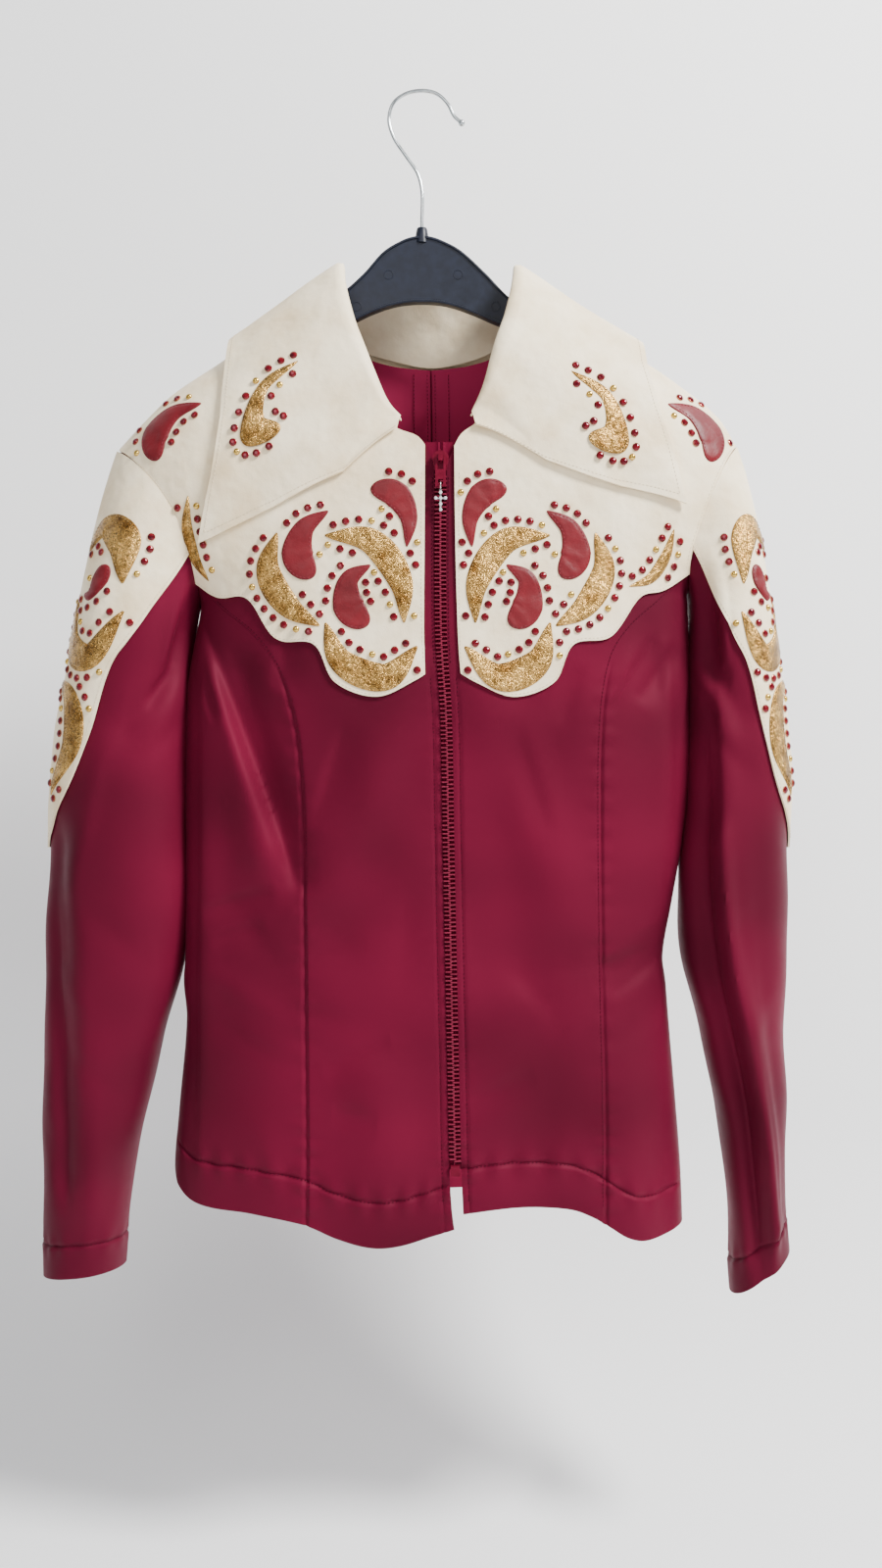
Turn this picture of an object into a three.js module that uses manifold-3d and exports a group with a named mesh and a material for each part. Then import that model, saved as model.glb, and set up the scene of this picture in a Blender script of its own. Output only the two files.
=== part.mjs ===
// A western show blouse hung on its hanger: burgundy stretch-satin panels, ivory leather yokes and
// collar, gold and red leather applique, an open-end zip, and a moulded hanger with a wire hook.
// Millimetres, +Z up, the front faces -Y, and the origin is the inside top of the hook.
import * as THREE from "three";
import { mergeVertices } from "three/addons/utils/BufferGeometryUtils.js";
import Module from "manifold-3d";

// Wall thicknesses and clearances
const CLOTH = 1.1;
const LEATHER = 1.2;
const COLLAR_LEATHER = 1.8;
const SEAM_GAP = 0.4;
const YOKE_GAP = 0.7;
const SIDE_GAP = 0.7;
const EDGE_GAP = 0.2;
const NECK_CLEARANCE = 3.2;
const ON_SLEEVE_GAP = 2;
const APPLIQUE = 1.0;
const APPLIQUE_GAP = 1.2;
const SLEEVE_APPLIQUE_GAP = 1.8;

// How square the flattened body is across, and how far the shoulder rounds over the hanger
const BODY_SQUARENESS = 2.6;
const SHOULDER_ROUND = 68;

// The body at each height: its two side edges, and how far it swells forwards and backwards
const BODY = [
  { z: -100, left: -240, right: 246, front: 40, back: 38 },
  { z: -200, left: -232, right: 238, front: 44, back: 42 },
  { z: -250, left: -222, right: 228, front: 48, back: 43 },
  { z: -283, left: -205, right: 216, front: 48.4, back: 44 },
  { z: -305, left: -190, right: 206, front: 48.7, back: 44 },
  { z: -328, left: -173, right: 192, front: 49, back: 44 },
  { z: -345, left: -156, right: 182, front: 50, back: 44 },
  { z: -355, left: -153, right: 182, front: 50, back: 44 },
  { z: -384, left: -158, right: 183, front: 50, back: 43 },
  { z: -418, left: -163.5, right: 184, front: 50, back: 42 },
  { z: -465, left: -164.5, right: 184, front: 48, back: 41 },
  { z: -520, left: -164, right: 178, front: 46, back: 40 },
  { z: -560, left: -164, right: 171, front: 45, back: 39 },
  { z: -596, left: -164, right: 165, front: 45, back: 39 },
  { z: -614, left: -165, right: 167, front: 46, back: 39 },
  { z: -640, left: -163, right: 169, front: 47, back: 40 },
  { z: -700, left: -168, right: 174, front: 49, back: 42 },
  { z: -740, left: -171, right: 177, front: 50, back: 43 },
  { z: -800, left: -170, right: 179, front: 51, back: 44 },
];

// Height of the shoulder ridge across the garment, and of the neck opening between
const RIDGE = [
  { x: -209, z: -249 },
  { x: -191, z: -230 },
  { x: -171, z: -211 },
  { x: -138, z: -189 },
  { x: -100, z: -162 },
  { x: -62, z: -137 },
  { x: -30, z: -122 },
  { x: 5, z: -118 },
  { x: 40, z: -123 },
  { x: 71, z: -139 },
  { x: 113, z: -166 },
  { x: 153, z: -190 },
  { x: 175, z: -205 },
  { x: 202, z: -227 },
  { x: 214, z: -246 },
];

// Where the zip runs
const ZIP_LINE = [
  { z: -240, x: 12 },
  { z: -374, x: 12 },
  { z: -435, x: 15.5 },
  { z: -515, x: 17 },
  { z: -660, x: 20 },
  { z: -730, x: 21.5 },
  { z: -800, x: 24 },
];
const ZIP_HALF_OPENING = 4;

// Seams seen from the front, as x and z from top to bottom or from the side to the zip
const ARMHOLE = {
  left: [[-209, -249.5], [-195, -260], [-180, -276], [-167, -296], [-159, -315], [-154, -335], [-153, -354]],
  right: [[214, -246.5], [205, -259], [195, -281], [187, -303], [181, -322], [179.5, -333], [182, -346]],
};
const PRINCESS_START = 0.9;
const PRINCESS = {
  left: [[-137, -359], [-114, -378], [-99, -398], [-89, -423], [-83, -453], [-80, -500], [-79, -560],
    [-78, -640], [-77, -710], [-77, -770]],
  right: [[160, -355], [141, -372], [129, -389], [122, -415], [119, -455], [119, -512], [120, -581],
    [121, -642], [122, -700], [122, -765]],
};
const YOKE_LINE = {
  left: [[-137, -353], [-118, -354], [-97, -382], [-72, -386], [-58, -411], [-30, -421], [-6, -411]],
  right: [[160, -349], [146, -353], [124, -381], [100, -386], [87, -411], [60, -421], [36, -412]],
};
const YOKE_AT_ZIP = -401;
const NECKLINE = {
  left: [[-62, -137], [-60, -151], [-54, -173], [-45, -196], [-31, -226], [-14, -241.5],
    [1, -248], [8, -267]],
  right: [[71, -139], [69, -151], [63, -171], [54, -195], [45, -219], [32, -238], [22, -246], [16, -267]],
};
const BACK_NECKLINE = {
  left: [[-62, -137], [-60, -149], [-54, -159], [-42, -170], [-20, -177], [5, -180]],
  right: [[71, -139], [69, -151], [62, -161], [50, -170], [28, -177], [5, -180]],
};
const FRONT_HEM = {
  left: [[-171, -738], [-167, -750], [-152, -760], [-113, -764], [-78, -770], [-57, -778], [-33, -783],
    [-14, -782], [7, -776], [21, -772]],
  right: [[178, -777], [165, -780], [148, -783], [136, -780], [125, -773], [113, -766], [100, -761],
    [78, -759], [56, -759], [27, -762]],
};
const BACK_HEM = { left: [[-171, -738], [-120, -755], [-50, -766], [12, -768]],
  right: [[178, -777], [140, -776], [70, -768], [12, -768]] };
const BACK_YOKE = { atArmhole: 0.5, middle: [[0, -318], [0.45, -322], [0.72, -338], [1, -330]] };

// The largest folds of the front: a soft ridge (positive height) or trough along a straight line
const FRONT_FOLDS = [
  { fromX: -146, fromZ: -402, toX: -108, toZ: -520, width: 15, height: 5 },
  { fromX: -122, fromZ: -402, toX: -86, toZ: -540, width: 12, height: -5 },
  { fromX: 176, fromZ: -575, toX: 128, toZ: -604, width: 11, height: -5 },
  { fromX: -32, fromZ: -680, toX: -32, toZ: -800, width: 26, height: 5 },
  { fromX: 148, fromZ: -680, toX: 150, toZ: -800, width: 24, height: 5 },
  { fromX: 76, fromZ: -690, toX: 78, toZ: -800, width: 26, height: -4 },
  { fromX: 52, fromZ: -470, toX: 64, toZ: -590, width: 24, height: -3 },
];
const BACK_FOLDS = [
  { fromX: -70, fromZ: -560, toX: -58, toZ: -800, width: 24, height: 4 },
  { fromX: 86, fromZ: -600, toX: 92, toZ: -800, width: 26, height: 5 },
  { fromX: 12, fromZ: -660, toX: 12, toZ: -800, width: 22, height: -4 },
  { fromX: -130, fromZ: -380, toX: -70, toZ: -470, width: 14, height: -3 },
  { fromX: 150, fromZ: -380, toX: 95, toZ: -470, width: 14, height: -3 },
];

// Each sleeve below the armpit: outer and inner edge, and how far it swells forwards and backwards
const SLEEVE = {
  left: [
    { z: -400, outer: -244, inner: -168.5, front: 41, back: 40 },
    { z: -440, outer: -250.5, inner: -168.5, front: 41, back: 40 },
    { z: -480, outer: -255, inner: -168, front: 40, back: 38 },
    { z: -545, outer: -258, inner: -168, front: 38, back: 34 },
    { z: -600, outer: -260, inner: -170, front: 36, back: 31 },
    { z: -650, outer: -261, inner: -180, front: 34, back: 28 },
    { z: -700, outer: -261.5, inner: -191, front: 32, back: 25 },
    { z: -750, outer: -262, inner: -200, front: 30, back: 22 },
    { z: -812, outer: -261, inner: -207, front: 28, back: 19 },
  ],
  right: [
    { z: -400, outer: 243.5, inner: 188.5, front: 41, back: 40 },
    { z: -440, outer: 249, inner: 188, front: 41, back: 40 },
    { z: -480, outer: 251, inner: 187.5, front: 40, back: 38 },
    { z: -545, outer: 250.5, inner: 182, front: 38, back: 34 },
    { z: -600, outer: 250, inner: 182, front: 36, back: 31 },
    { z: -650, outer: 248.5, inner: 193, front: 34, back: 28 },
    { z: -700, outer: 249.5, inner: 202, front: 32, back: 25 },
    { z: -750, outer: 249, inner: 209, front: 30, back: 22 },
    { z: -812, outer: 251, inner: 213, front: 28, back: 19 },
  ],
};
const CUFF_SLANT = { left: -3, right: 16 };
const SLEEVE_SQUARENESS = 2.25;
// Folds along each sleeve: an angle round it (0 outwards, 90 to the front) at the top and the bottom
const SLEEVE_FOLDS = {
  left: [
    { fromAngle: 38, fromZ: -520, toAngle: 75, toZ: -740, width: 17, height: -4 },
    { fromAngle: 62, fromZ: -540, toAngle: 102, toZ: -760, width: 18, height: 2.5 },
    { fromAngle: 150, fromZ: -385, toAngle: 100, toZ: -440, width: 15, height: -3 },
    { fromAngle: 262, fromZ: -520, toAngle: 240, toZ: -720, width: 18, height: -3 },
  ],
  right: [
    { fromAngle: 112, fromZ: -520, toAngle: 70, toZ: -780, width: 14, height: 4.5 },
    { fromAngle: 140, fromZ: -500, toAngle: 104, toZ: -780, width: 17, height: -4 },
    { fromAngle: 130, fromZ: -390, toAngle: 96, toZ: -430, width: 15, height: -3.5 },
    { fromAngle: 262, fromZ: -500, toAngle: 244, toZ: -720, width: 18, height: -3 },
  ],
};
// The ivory cap on each sleeve: half its width in degrees at each height
const CAP_SPREAD = [
  { z: -256, spread: 120 },
  { z: -330, spread: 118 },
  { z: -368, spread: 104 },
  { z: -400, spread: 84 },
  { z: -450, spread: 70 },
  { z: -485, spread: 52 },
  { z: -522, spread: 8 },
];

// The collar, station by station from one front corner round the neck to the other. Each place is
// x, and how far down the garment it lies from the shoulder ridge: front positive, back negative.
const COLLAR = [
  { seamX: -14, seamW: 119, foldX: -15, foldW: 117, edgeX: -17, edgeW: 124 },
  { seamX: -31, seamW: 105, foldX: -27, foldW: 102, edgeX: -52, edgeW: 141 },
  { seamX: -46, seamW: 68, foldX: -41, foldW: 64, edgeX: -100, edgeW: 134 },
  { seamX: -55, seamW: 42, foldX: -49, foldW: 39, edgeX: -150, edgeW: 121 },
  { seamX: -60, seamW: 14, foldX: -55, foldW: 12, edgeX: -140, edgeW: 83 },
  { seamX: -62, seamW: 1, foldX: -57, foldW: 0, edgeX: -134, edgeW: 50 },
  { seamX: -60.5, seamW: -13, foldX: -57, foldW: -8, edgeX: -133, edgeW: 16 },
  { seamX: -54, seamW: -25, foldX: -52, foldW: -14, edgeX: -131, edgeW: -20 },
  { seamX: -42, seamW: -43, foldX: -41, foldW: -18, edgeX: -116, edgeW: -60 },
  { seamX: -20, seamW: -56, foldX: -20, foldW: -16, edgeX: -60, edgeW: -97 },
  { seamX: 5, seamW: -62, foldX: 5, foldW: -12, edgeX: 5, edgeW: -114 },
  { seamX: 29, seamW: -56, foldX: 29, foldW: -16, edgeX: 70, edgeW: -95 },
  { seamX: 48.5, seamW: -43, foldX: 49, foldW: -18, edgeX: 130, edgeW: -60 },
  { seamX: 60.5, seamW: -25, foldX: 60, foldW: -14, edgeX: 148, edgeW: -18 },
  { seamX: 69.5, seamW: -13, foldX: 64, foldW: -8, edgeX: 151, edgeW: 14 },
  { seamX: 71, seamW: 1, foldX: 65, foldW: 0, edgeX: 158, edgeW: 39 },
  { seamX: 69, seamW: 14, foldX: 63, foldW: 12, edgeX: 168, edgeW: 62 },
  { seamX: 63.5, seamW: 37, foldX: 58, foldW: 36, edgeX: 176, edgeW: 86 },
  { seamX: 56, seamW: 64, foldX: 51, foldW: 60, edgeX: 132, edgeW: 104 },
  { seamX: 46, seamW: 93, foldX: 43, foldW: 90, edgeX: 82, edgeW: 119 },
  { seamX: 32, seamW: 114, foldX: 33, foldW: 112, edgeX: 35, edgeW: 120 },
];
const COLLAR_STEPS = 3;
const COLLAR_FALL_ROWS = 5;
const COLLAR_ROLL = 2.3;
const COLLAR_CLEARANCE = 4.6;
const COLLAR_LIFT = { overRidge: 8, ridgeReach: 36 };
// The stand between seam and roll, row by row: share of the way up, and how far off the garment
const COLLAR_STAND = [{ share: 0, out: 0 }, { share: 0.5, out: 0.3 }, { share: 0.95, out: 0.8 }];
const COLLAR_ROLL_OUT = 3.5;
// The fall starts just past the fold, a little further off the garment than at its edge
const COLLAR_FALL = { start: 0.02, extraOut: 2 };
const COLLAR_MOTIF_GAP = 1.2;

// Leather applique on a front yoke: distance out from the zip, height, and greatest width.
// A leaf is pointed at both ends, and a drop is round at its first end.
const YOKE_MOTIFS = [
  { name: "gold_leaf_1", tone: "gold", shape: "leaf", width: 20,
    line: [[16, -388], [38, -408], [66, -398], [76, -372]] },
  { name: "gold_leaf_2", tone: "gold", shape: "leaf", width: 19,
    line: [[24, -372], [26, -345], [46, -318], [76, -314]] },
  { name: "gold_leaf_3", tone: "gold", shape: "leaf", width: 18,
    line: [[80, -374], [101, -360], [114, -336], [108, -312]] },
  { name: "gold_leaf_4", tone: "gold", shape: "leaf", width: 8,
    line: [[155, -341], [163.5, -327], [169, -306], [168, -286]],
    rightLine: [[132, -347], [147, -341], [158, -326], [164, -308]] },
  { name: "red_drop_1", tone: "red", shape: "drop", width: 21,
    line: [[48, -374], [60, -362], [60, -344], [46, -334]] },
  { name: "red_drop_2", tone: "red", shape: "drop", width: 21,
    line: [[84, -342], [94, -328], [90, -310], [74, -298]] },
  { name: "red_drop_3", tone: "red", shape: "drop", width: 18,
    line: [[46, -283], [30, -287], [21, -302], [22, -322]] },
  { name: "red_drop_4", tone: "red", shape: "drop", width: 19,
    line: [[190, -262], [192, -246], [180, -230], [160, -224]] },
];
// Applique on a sleeve cap: angle round the sleeve, height, and greatest width
const SLEEVE_MOTIFS = [
  { name: "gold_leaf_5", tone: "gold", shape: "leaf", width: 19,
    line: [[82, -348], [70, -320], [46, -307], [22, -322]] },
  { name: "gold_leaf_6", tone: "gold", shape: "leaf", width: 19,
    line: [[88, -366], [62, -394], [32, -384], [20, -350]] },
  { name: "gold_leaf_7", tone: "gold", shape: "leaf", width: 17,
    line: [[14, -408], [44, -420], [54, -452], [30, -486]] },
  { name: "red_drop_5", tone: "red", shape: "drop", width: 15,
    line: [[60, -334], [57, -346], [49, -353], [38, -352]] },
  { name: "gold_leaf_8", tone: "gold", shape: "leaf", width: 18,
    line: [[-86, -350], [-70, -390], [-36, -400], [-12, -372]] },
  { name: "red_drop_6", tone: "red", shape: "drop", width: 13,
    line: [[-58, -350], [-48, -352], [-37, -346], [-28, -334]] },
];
// Applique on a collar point: across and down from the shoulder ridge, left side
const COLLAR_MIDDLE = 8;
const COLLAR_MOTIF = { width: 16, line: [[-94, 88], [-112, 74], [-106, 52], [-82, 50]] };

// Zip hardware
const CHAIN = { halfWidth: 3.2, out: 1.1, inward: -1.0, top: -272, bottom: -729 };
const TAPE = { top: -252, bottom: -733, width: 13, thickness: 0.8, depth: 1.6, inner: 0.5 };
const SLIDER = { z: -265, width: 11, height: 13, thickness: 2.2, footShare: 0.72 };
const BRIDGE = { width: 3, room: 1.5, wall: 1.1, root: 0.6 };
const PULL = {
  width: 7, length: 21, thickness: 1.4, bar: 1.6, slot: 3.8, slotEnd: 8, eye: 3.2,
  pivotUp: 1.5, pivotOut: 1.8,
};
const RING_SIZE = { radius: 2.5, wire: 1 };
const CHARM = { length: 15, width: 8, stem: 2, thickness: 1.6, armAt: 0.4 };
const BOX = { z: -733.5, width: 6.2, height: 7, thickness: 3.4 };

// Hanger, and the top and bottom edges of its raised neck between the arms
const HANGER = { thickness: 8, armDepth: 24, endDepth: 13, endX: { left: -180, right: 184 },
  neck: { left: -66, right: 76 }, socket: 7.5, socketTop: -94 };
const HANGER_NECK_TOP = [
  [-56, -139.5], [-41, -126], [-28, -111.5], [-15, -103.5], [-5.5, -100.5],
  [3.5, -100.5], [12, -103], [26, -110.5], [43, -126], [61, -144],
];
const HANGER_NECK_BOTTOM = [
  [57, -163], [33, -153], [16, -147.5], [-1, -146], [-18, -147.5], [-35, -153], [-51, -160.5],
];
const ARM_STEPS = 8;
const HANGER_BELOW_RIDGE = 6.5;
const HOOK_STEPS = 42;
const HOOK_WIRE = 2.6;
const HOOK_LINE = [[-1, -103], [-1, -90], [-1, -68], [-4, -56], [-12, -44], [-20.5, -31], [-23.8, -18.5],
  [-20.5, -7], [-11.5, -0.6], [0, 1.3], [9.5, -1], [17, -8], [21.5, -16.5], [26.5, -21]];
const HOOK_BALL = 4.6;

// A smooth function through a table's rows, read from column `from` to column `to`.
function column(rows, from, to) {
  const sorted = [...rows].sort((a, b) => a[from] - b[from]);
  const x = sorted.map((row) => row[from]);
  const y = sorted.map((row) => row[to]);
  const last = x.length - 1;
  const slope = x.map((_, i) => {
    const a = Math.max(0, i - 1);
    const b = Math.min(last, i + 1);
    return (y[b] - y[a]) / (x[b] - x[a]);
  });
  return (at) => {
    const q = Math.min(Math.max(at, x[0]), x[last]);
    let i = 0;
    while (i < last - 1 && q > x[i + 1]) i += 1;
    const span = x[i + 1] - x[i];
    const t = (q - x[i]) / span;
    const s = 1 - t;
    return s * s * (1 + 2 * t) * y[i] + t * t * (1 + 2 * s) * y[i + 1]
      + span * t * s * (s * slope[i] - t * slope[i + 1]);
  };
}

const side = { left: column(BODY, "z", "left"), right: column(BODY, "z", "right") };
const swell = { front: column(BODY, "z", "front"), back: column(BODY, "z", "back") };
const ridge = column(RIDGE, "x", "z");
const zipX = column(ZIP_LINE, "z", "x");

// Sum of the folds at a point of a flat map, each a rounded ridge along a straight line.
function folds(table, x, z) {
  return table.reduce((sum, fold) => {
    const dx = fold.toX - fold.fromX;
    const dz = fold.toZ - fold.fromZ;
    const along = ((x - fold.fromX) * dx + (z - fold.fromZ) * dz) / (dx * dx + dz * dz);
    const t = Math.min(1, Math.max(0, along));
    const off = Math.hypot(x - fold.fromX - dx * t, z - fold.fromZ - dz * t) / fold.width;
    return sum + fold.height * Math.exp(-off * off);
  }, 0);
}

// The garment's outer surface at x, z: a superellipse across, rounded over the shoulder ridge.
function bodyPoint(x, z, face) {
  const middle = (side.left(z) + side.right(z)) / 2;
  const half = (side.right(z) - side.left(z)) / 2;
  const across = Math.min(1, Math.abs(x - middle) / half);
  const sideways = Math.pow(1 - Math.pow(across, BODY_SQUARENESS), 1 / BODY_SQUARENESS);
  const below = Math.min(SHOULDER_ROUND, Math.max(0, ridge(x) - z)) / SHOULDER_ROUND;
  const over = Math.sqrt(1 - (1 - below) * (1 - below));
  const fold = folds(face === "front" ? FRONT_FOLDS : BACK_FOLDS, x, z);
  const depth = (swell[face](z) + fold) * sideways * over + SIDE_GAP / 2;
  return new THREE.Vector3(x, face === "front" ? -depth : depth, z);
}

// The same surface, `out` millimetres further from the body.
function onBody(x, z, face, out) {
  const step = 1.5;
  const dx = bodyPoint(x + step, z, face).sub(bodyPoint(x - step, z, face));
  const dz = bodyPoint(x, z + step, face).sub(bodyPoint(x, z - step, face));
  const normal = dx.cross(dz).normalize();
  if (normal.y > 0 === (face === "front")) normal.negate();
  return bodyPoint(x, z, face).addScaledVector(normal, out);
}

// A smooth path through [x, z] points, read by its share of the length.
function path(points, from = 0, to = 1) {
  const places = points.map(([x, z]) => new THREE.Vector3(x, 0, z));
  const curve = new THREE.CatmullRomCurve3(places, false, "centripetal");
  curve.arcLengthDivisions = 120;
  return (t) => {
    const p = curve.getPointAt(Math.min(1, Math.max(0, from + (to - from) * t)));
    return [p.x, p.z];
  };
}

// Two paths one after the other, each taking the share of rows that `share` gives the first.
function joined(first, second, share) {
  return (t) => (t < share ? first(t / share) : second((t - share) / (1 - share)));
}

// The points between four boundary paths: u from the left path to the right, v from top to bottom.
// The side paths are eased onto the corners of the top and bottom ones.
function patch({ top, bottom, left, right }, us, vs) {
  const eased = (edge, u) => (v) => [0, 1].map((k) => edge(v)[k]
    + (top(u)[k] - edge(0)[k]) * (1 - v) ** 3 + (bottom(u)[k] - edge(1)[k]) * v ** 3);
  const [leftEdge, rightEdge] = [eased(left, 0), eased(right, 1)];
  return vs.map((v) => us.map((u) => [0, 1].map((k) =>
    (1 - u) * leftEdge(v)[k] + u * rightEdge(v)[k] + (1 - v) * top(u)[k] + v * bottom(u)[k]
      - (1 - u) * (1 - v) * top(0)[k] - u * (1 - v) * top(1)[k]
      - (1 - u) * v * bottom(0)[k] - u * v * bottom(1)[k])));
}

const steps = (count, shape = (t) => t) => Array.from({ length: count + 1 }, (_, i) => shape(i / count));
const easeIn = (power) => (t) => Math.pow(t, power);

// Unit normals of a grid of points, pointing the way that `towards` says on the whole.
function normalsOf(grid, towards, closed) {
  const rows = grid.length;
  const cols = grid[0].length;
  const wrap = (j) => (closed ? (j + cols) % cols : Math.min(cols - 1, Math.max(0, j)));
  const normals = grid.map((row, i) => row.map((_, j) => {
    const du = grid[i][wrap(j + 1)].clone().sub(grid[i][wrap(j - 1)]);
    const dv = grid[Math.min(rows - 1, i + 1)][j].clone().sub(grid[Math.max(0, i - 1)][j]);
    return du.cross(dv).normalize();
  }));
  const vote = normals.flat().reduce((sum, n, k) => sum + n.dot(towards(grid.flat()[k])), 0);
  if (vote < 0) normals.flat().forEach((n) => n.negate());
  return normals;
}

// A closed wall from a grid of points: its outer face `out` from them, its inner face `inner`. An
// edge on the plane between front and back stays on its own side of it.
function wall(grid, towards, { out = 0, inner = -CLOTH, closed = false, normals: given = null } = {}) {
  const normals = given ?? normalsOf(grid, towards, closed);
  const rows = grid.length;
  const cols = grid[0].length;
  const count = rows * cols;
  const positions = [];
  [out, inner].forEach((offset) => grid.forEach((row, i) => row.forEach((p, j) => {
    const q = p.clone().addScaledVector(normals[i][j], offset);
    if (Math.abs(p.y) < CLOTH) q.y = Math.sign(p.y) * Math.max(EDGE_GAP, Math.abs(q.y) * (q.y * p.y > 0));
    positions.push(...q.toArray());
  })));
  const faces = [];
  const quad = (a, b, c, d) => faces.push([a, b, c], [a, c, d]);
  const at = (i, j, layer) => layer * count + i * cols + (j % cols);
  const lastCol = closed ? cols : cols - 1;
  for (let i = 0; i < rows - 1; i += 1) {
    for (let j = 0; j < lastCol; j += 1) {
      quad(at(i, j, 0), at(i, j + 1, 0), at(i + 1, j + 1, 0), at(i + 1, j, 0));
      quad(at(i, j, 1), at(i + 1, j, 1), at(i + 1, j + 1, 1), at(i, j + 1, 1));
    }
  }
  for (let j = 0; j < lastCol; j += 1) {
    quad(at(0, j, 0), at(0, j, 1), at(0, j + 1, 1), at(0, j + 1, 0));
    quad(at(rows - 1, j, 0), at(rows - 1, j + 1, 0), at(rows - 1, j + 1, 1), at(rows - 1, j, 1));
  }
  if (!closed) {
    for (let i = 0; i < rows - 1; i += 1) {
      quad(at(i, 0, 0), at(i + 1, 0, 0), at(i + 1, 0, 1), at(i, 0, 1));
      quad(at(i, cols - 1, 0), at(i, cols - 1, 1), at(i + 1, cols - 1, 1), at(i + 1, cols - 1, 0));
    }
  }
  return solid(positions, faces);
}

// A geometry from points and triangles, turned so that its faces look outwards.
function solid(positions, faces) {
  const corner = (k) => new THREE.Vector3(...positions.slice(3 * k, 3 * k + 3));
  const volume = faces.reduce((sum, [a, b, c]) => sum + corner(a).dot(corner(b).cross(corner(c))), 0);
  const index = faces.flatMap(([a, b, c]) => (volume < 0 ? [a, c, b] : [a, b, c]));
  const geometry = new THREE.BufferGeometry();
  geometry.setAttribute("position", new THREE.Float32BufferAttribute(positions, 3));
  geometry.setIndex(index);
  geometry.computeVertexNormals();
  return geometry;
}

const material = (color, roughness, metalness = 0) =>
  new THREE.MeshStandardMaterial({ color, roughness, metalness });
const satin = material(0x8b1f42, 0.55);
const ivory = material(0xe3d9c6, 0.6);
const foil = { gold: material(0xb89a66, 0.35, 0.8), red: material(0xb01e3a, 0.45) };
const zipPlastic = material(0x8f2c4a, 0.4);
const tapeCloth = material(0x7c1a3a, 0.8);
const crystal = material(0xd8d2d4, 0.15, 0.6);
const hangerPlastic = material(0x262b38, 0.45);
const steel = material(0x9aa3a6, 0.25, 1);

const blouse = new THREE.Group();
function add(name, geometry, finish) {
  const mesh = new THREE.Mesh(geometry, finish);
  mesh.name = name;
  blouse.add(mesh);
  return mesh;
}

const fromBodyAxis = (p) => new THREE.Vector3(0, p.y, 0);
const SIDES = ["left", "right"];
const OUTWARD = { left: -1, right: 1 };

// Grid columns of a front panel: from the armhole, then one narrow strip beside the zip. The shoulder
// takes the first share of the top edge, and the neckline takes the rest.
const FRONT_COLUMNS = 8;
const NECK_SHARE = 0.5;
const STRIP_SHARE = 0.955;
const YOKE_ROWS = 10;
const SKIRT_ROWS = 12;

// x of a front panel's edge beside the zip
const zipEdge = (name) => (z) => zipX(z) + OUTWARD[name] * ZIP_HALF_OPENING;

// A straight run down the zip edge between two heights
function alongZip(name, top, bottom) {
  return (t) => {
    const z = top + (bottom - top) * t;
    return [zipEdge(name)(z), z];
  };
}

const shifted = (curve, dx) => (t) => {
  const [x, z] = curve(t);
  return [x + dx, z];
};

// A front panel's grid in x and z: the yoke part above, the skirt part below it
function frontGrid(name) {
  const out = OUTWARD[name];
  const armhole = shifted(path(ARMHOLE[name], 0, PRINCESS_START), -out * SEAM_GAP);
  const start = path(ARMHOLE[name])(PRINCESS_START);
  const shoulderEnd = ARMHOLE[name][0][0] - out * SEAM_GAP;
  const neckPoint = NECKLINE[name][0][0] + out * NECK_CLEARANCE;
  const shoulder = (t) => {
    const x = shoulderEnd + (neckPoint - shoulderEnd) * t;
    return [x, ridge(x)];
  };
  const neckEnd = NECKLINE[name].at(-1)[1];
  const clear = NECKLINE[name].slice(0, -1)
    .map(([x, z]) => [x + out * NECK_CLEARANCE, z - NECK_CLEARANCE / 2]);
  const neck = path([...clear, [zipEdge(name)(neckEnd), neckEnd]]);
  const yokeEnd = [zipEdge(name)(YOKE_AT_ZIP), YOKE_AT_ZIP];
  const yokeLine = path([[start[0] - out * SEAM_GAP, start[1]], ...YOKE_LINE[name], yokeEnd]);
  const hemInner = FRONT_HEM[name].at(-1);
  const princess = shifted(path([start, ...PRINCESS[name]]), -out * SEAM_GAP);
  const hem = hemBetween(name, princess(1)[0], hemInner[0]);
  const underNeck = steps(FRONT_COLUMNS / 2, easeIn(1.3)).slice(1);
  const us = [...steps(FRONT_COLUMNS / 2).map((t) => t * NECK_SHARE),
    ...underNeck.map((t) => NECK_SHARE + t * (STRIP_SHARE - NECK_SHARE)), 1];
  const upper = patch({
    top: joined(shoulder, neck, NECK_SHARE),
    bottom: yokeLine,
    left: armhole,
    right: alongZip(name, neckEnd, YOKE_AT_ZIP),
  }, us, steps(YOKE_ROWS, easeIn(1.45)));
  const lower = patch({
    top: yokeLine,
    bottom: hem,
    left: (t) => (t < 1 ? princess(t) : hem(0)),
    right: (t) => {
      const z = YOKE_AT_ZIP + (hem(1)[1] - YOKE_AT_ZIP) * t;
      return [zipEdge(name)(z) + (hem(1)[0] - zipEdge(name)(hem(1)[1])) * t ** 24, z];
    },
  }, us, steps(SKIRT_ROWS, easeIn(1.25)));
  return [...upper, ...lower.slice(1)];
}

// Part of the front hem between two x values
function hemBetween(name, fromX, toX) {
  const height = column(FRONT_HEM[name].map(([x, z]) => ({ x, z })), "x", "z");
  return (t) => {
    const x = fromX + (toX - fromX) * t;
    return [x, height(x)];
  };
}

const lift = (grid, face, out = 0) => grid.map((row) => row.map(([x, z]) => onBody(x, z, face, out)));

function addFronts(name) {
  const grid = lift(frontGrid(name), "front");
  add(`centre_front_${name}`, wall(grid, fromBodyAxis), satin);
  const yokePart = (rows) => rows.slice(0, YOKE_ROWS + 1).map((row) => row.slice(0, -1));
  const normals = yokePart(normalsOf(grid, fromBodyAxis, false));
  const offsets = { out: YOKE_GAP + LEATHER, inner: YOKE_GAP, normals };
  add(`front_yoke_${name}`, wall(yokePart(grid), fromBodyAxis, offsets), ivory);
}

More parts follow.
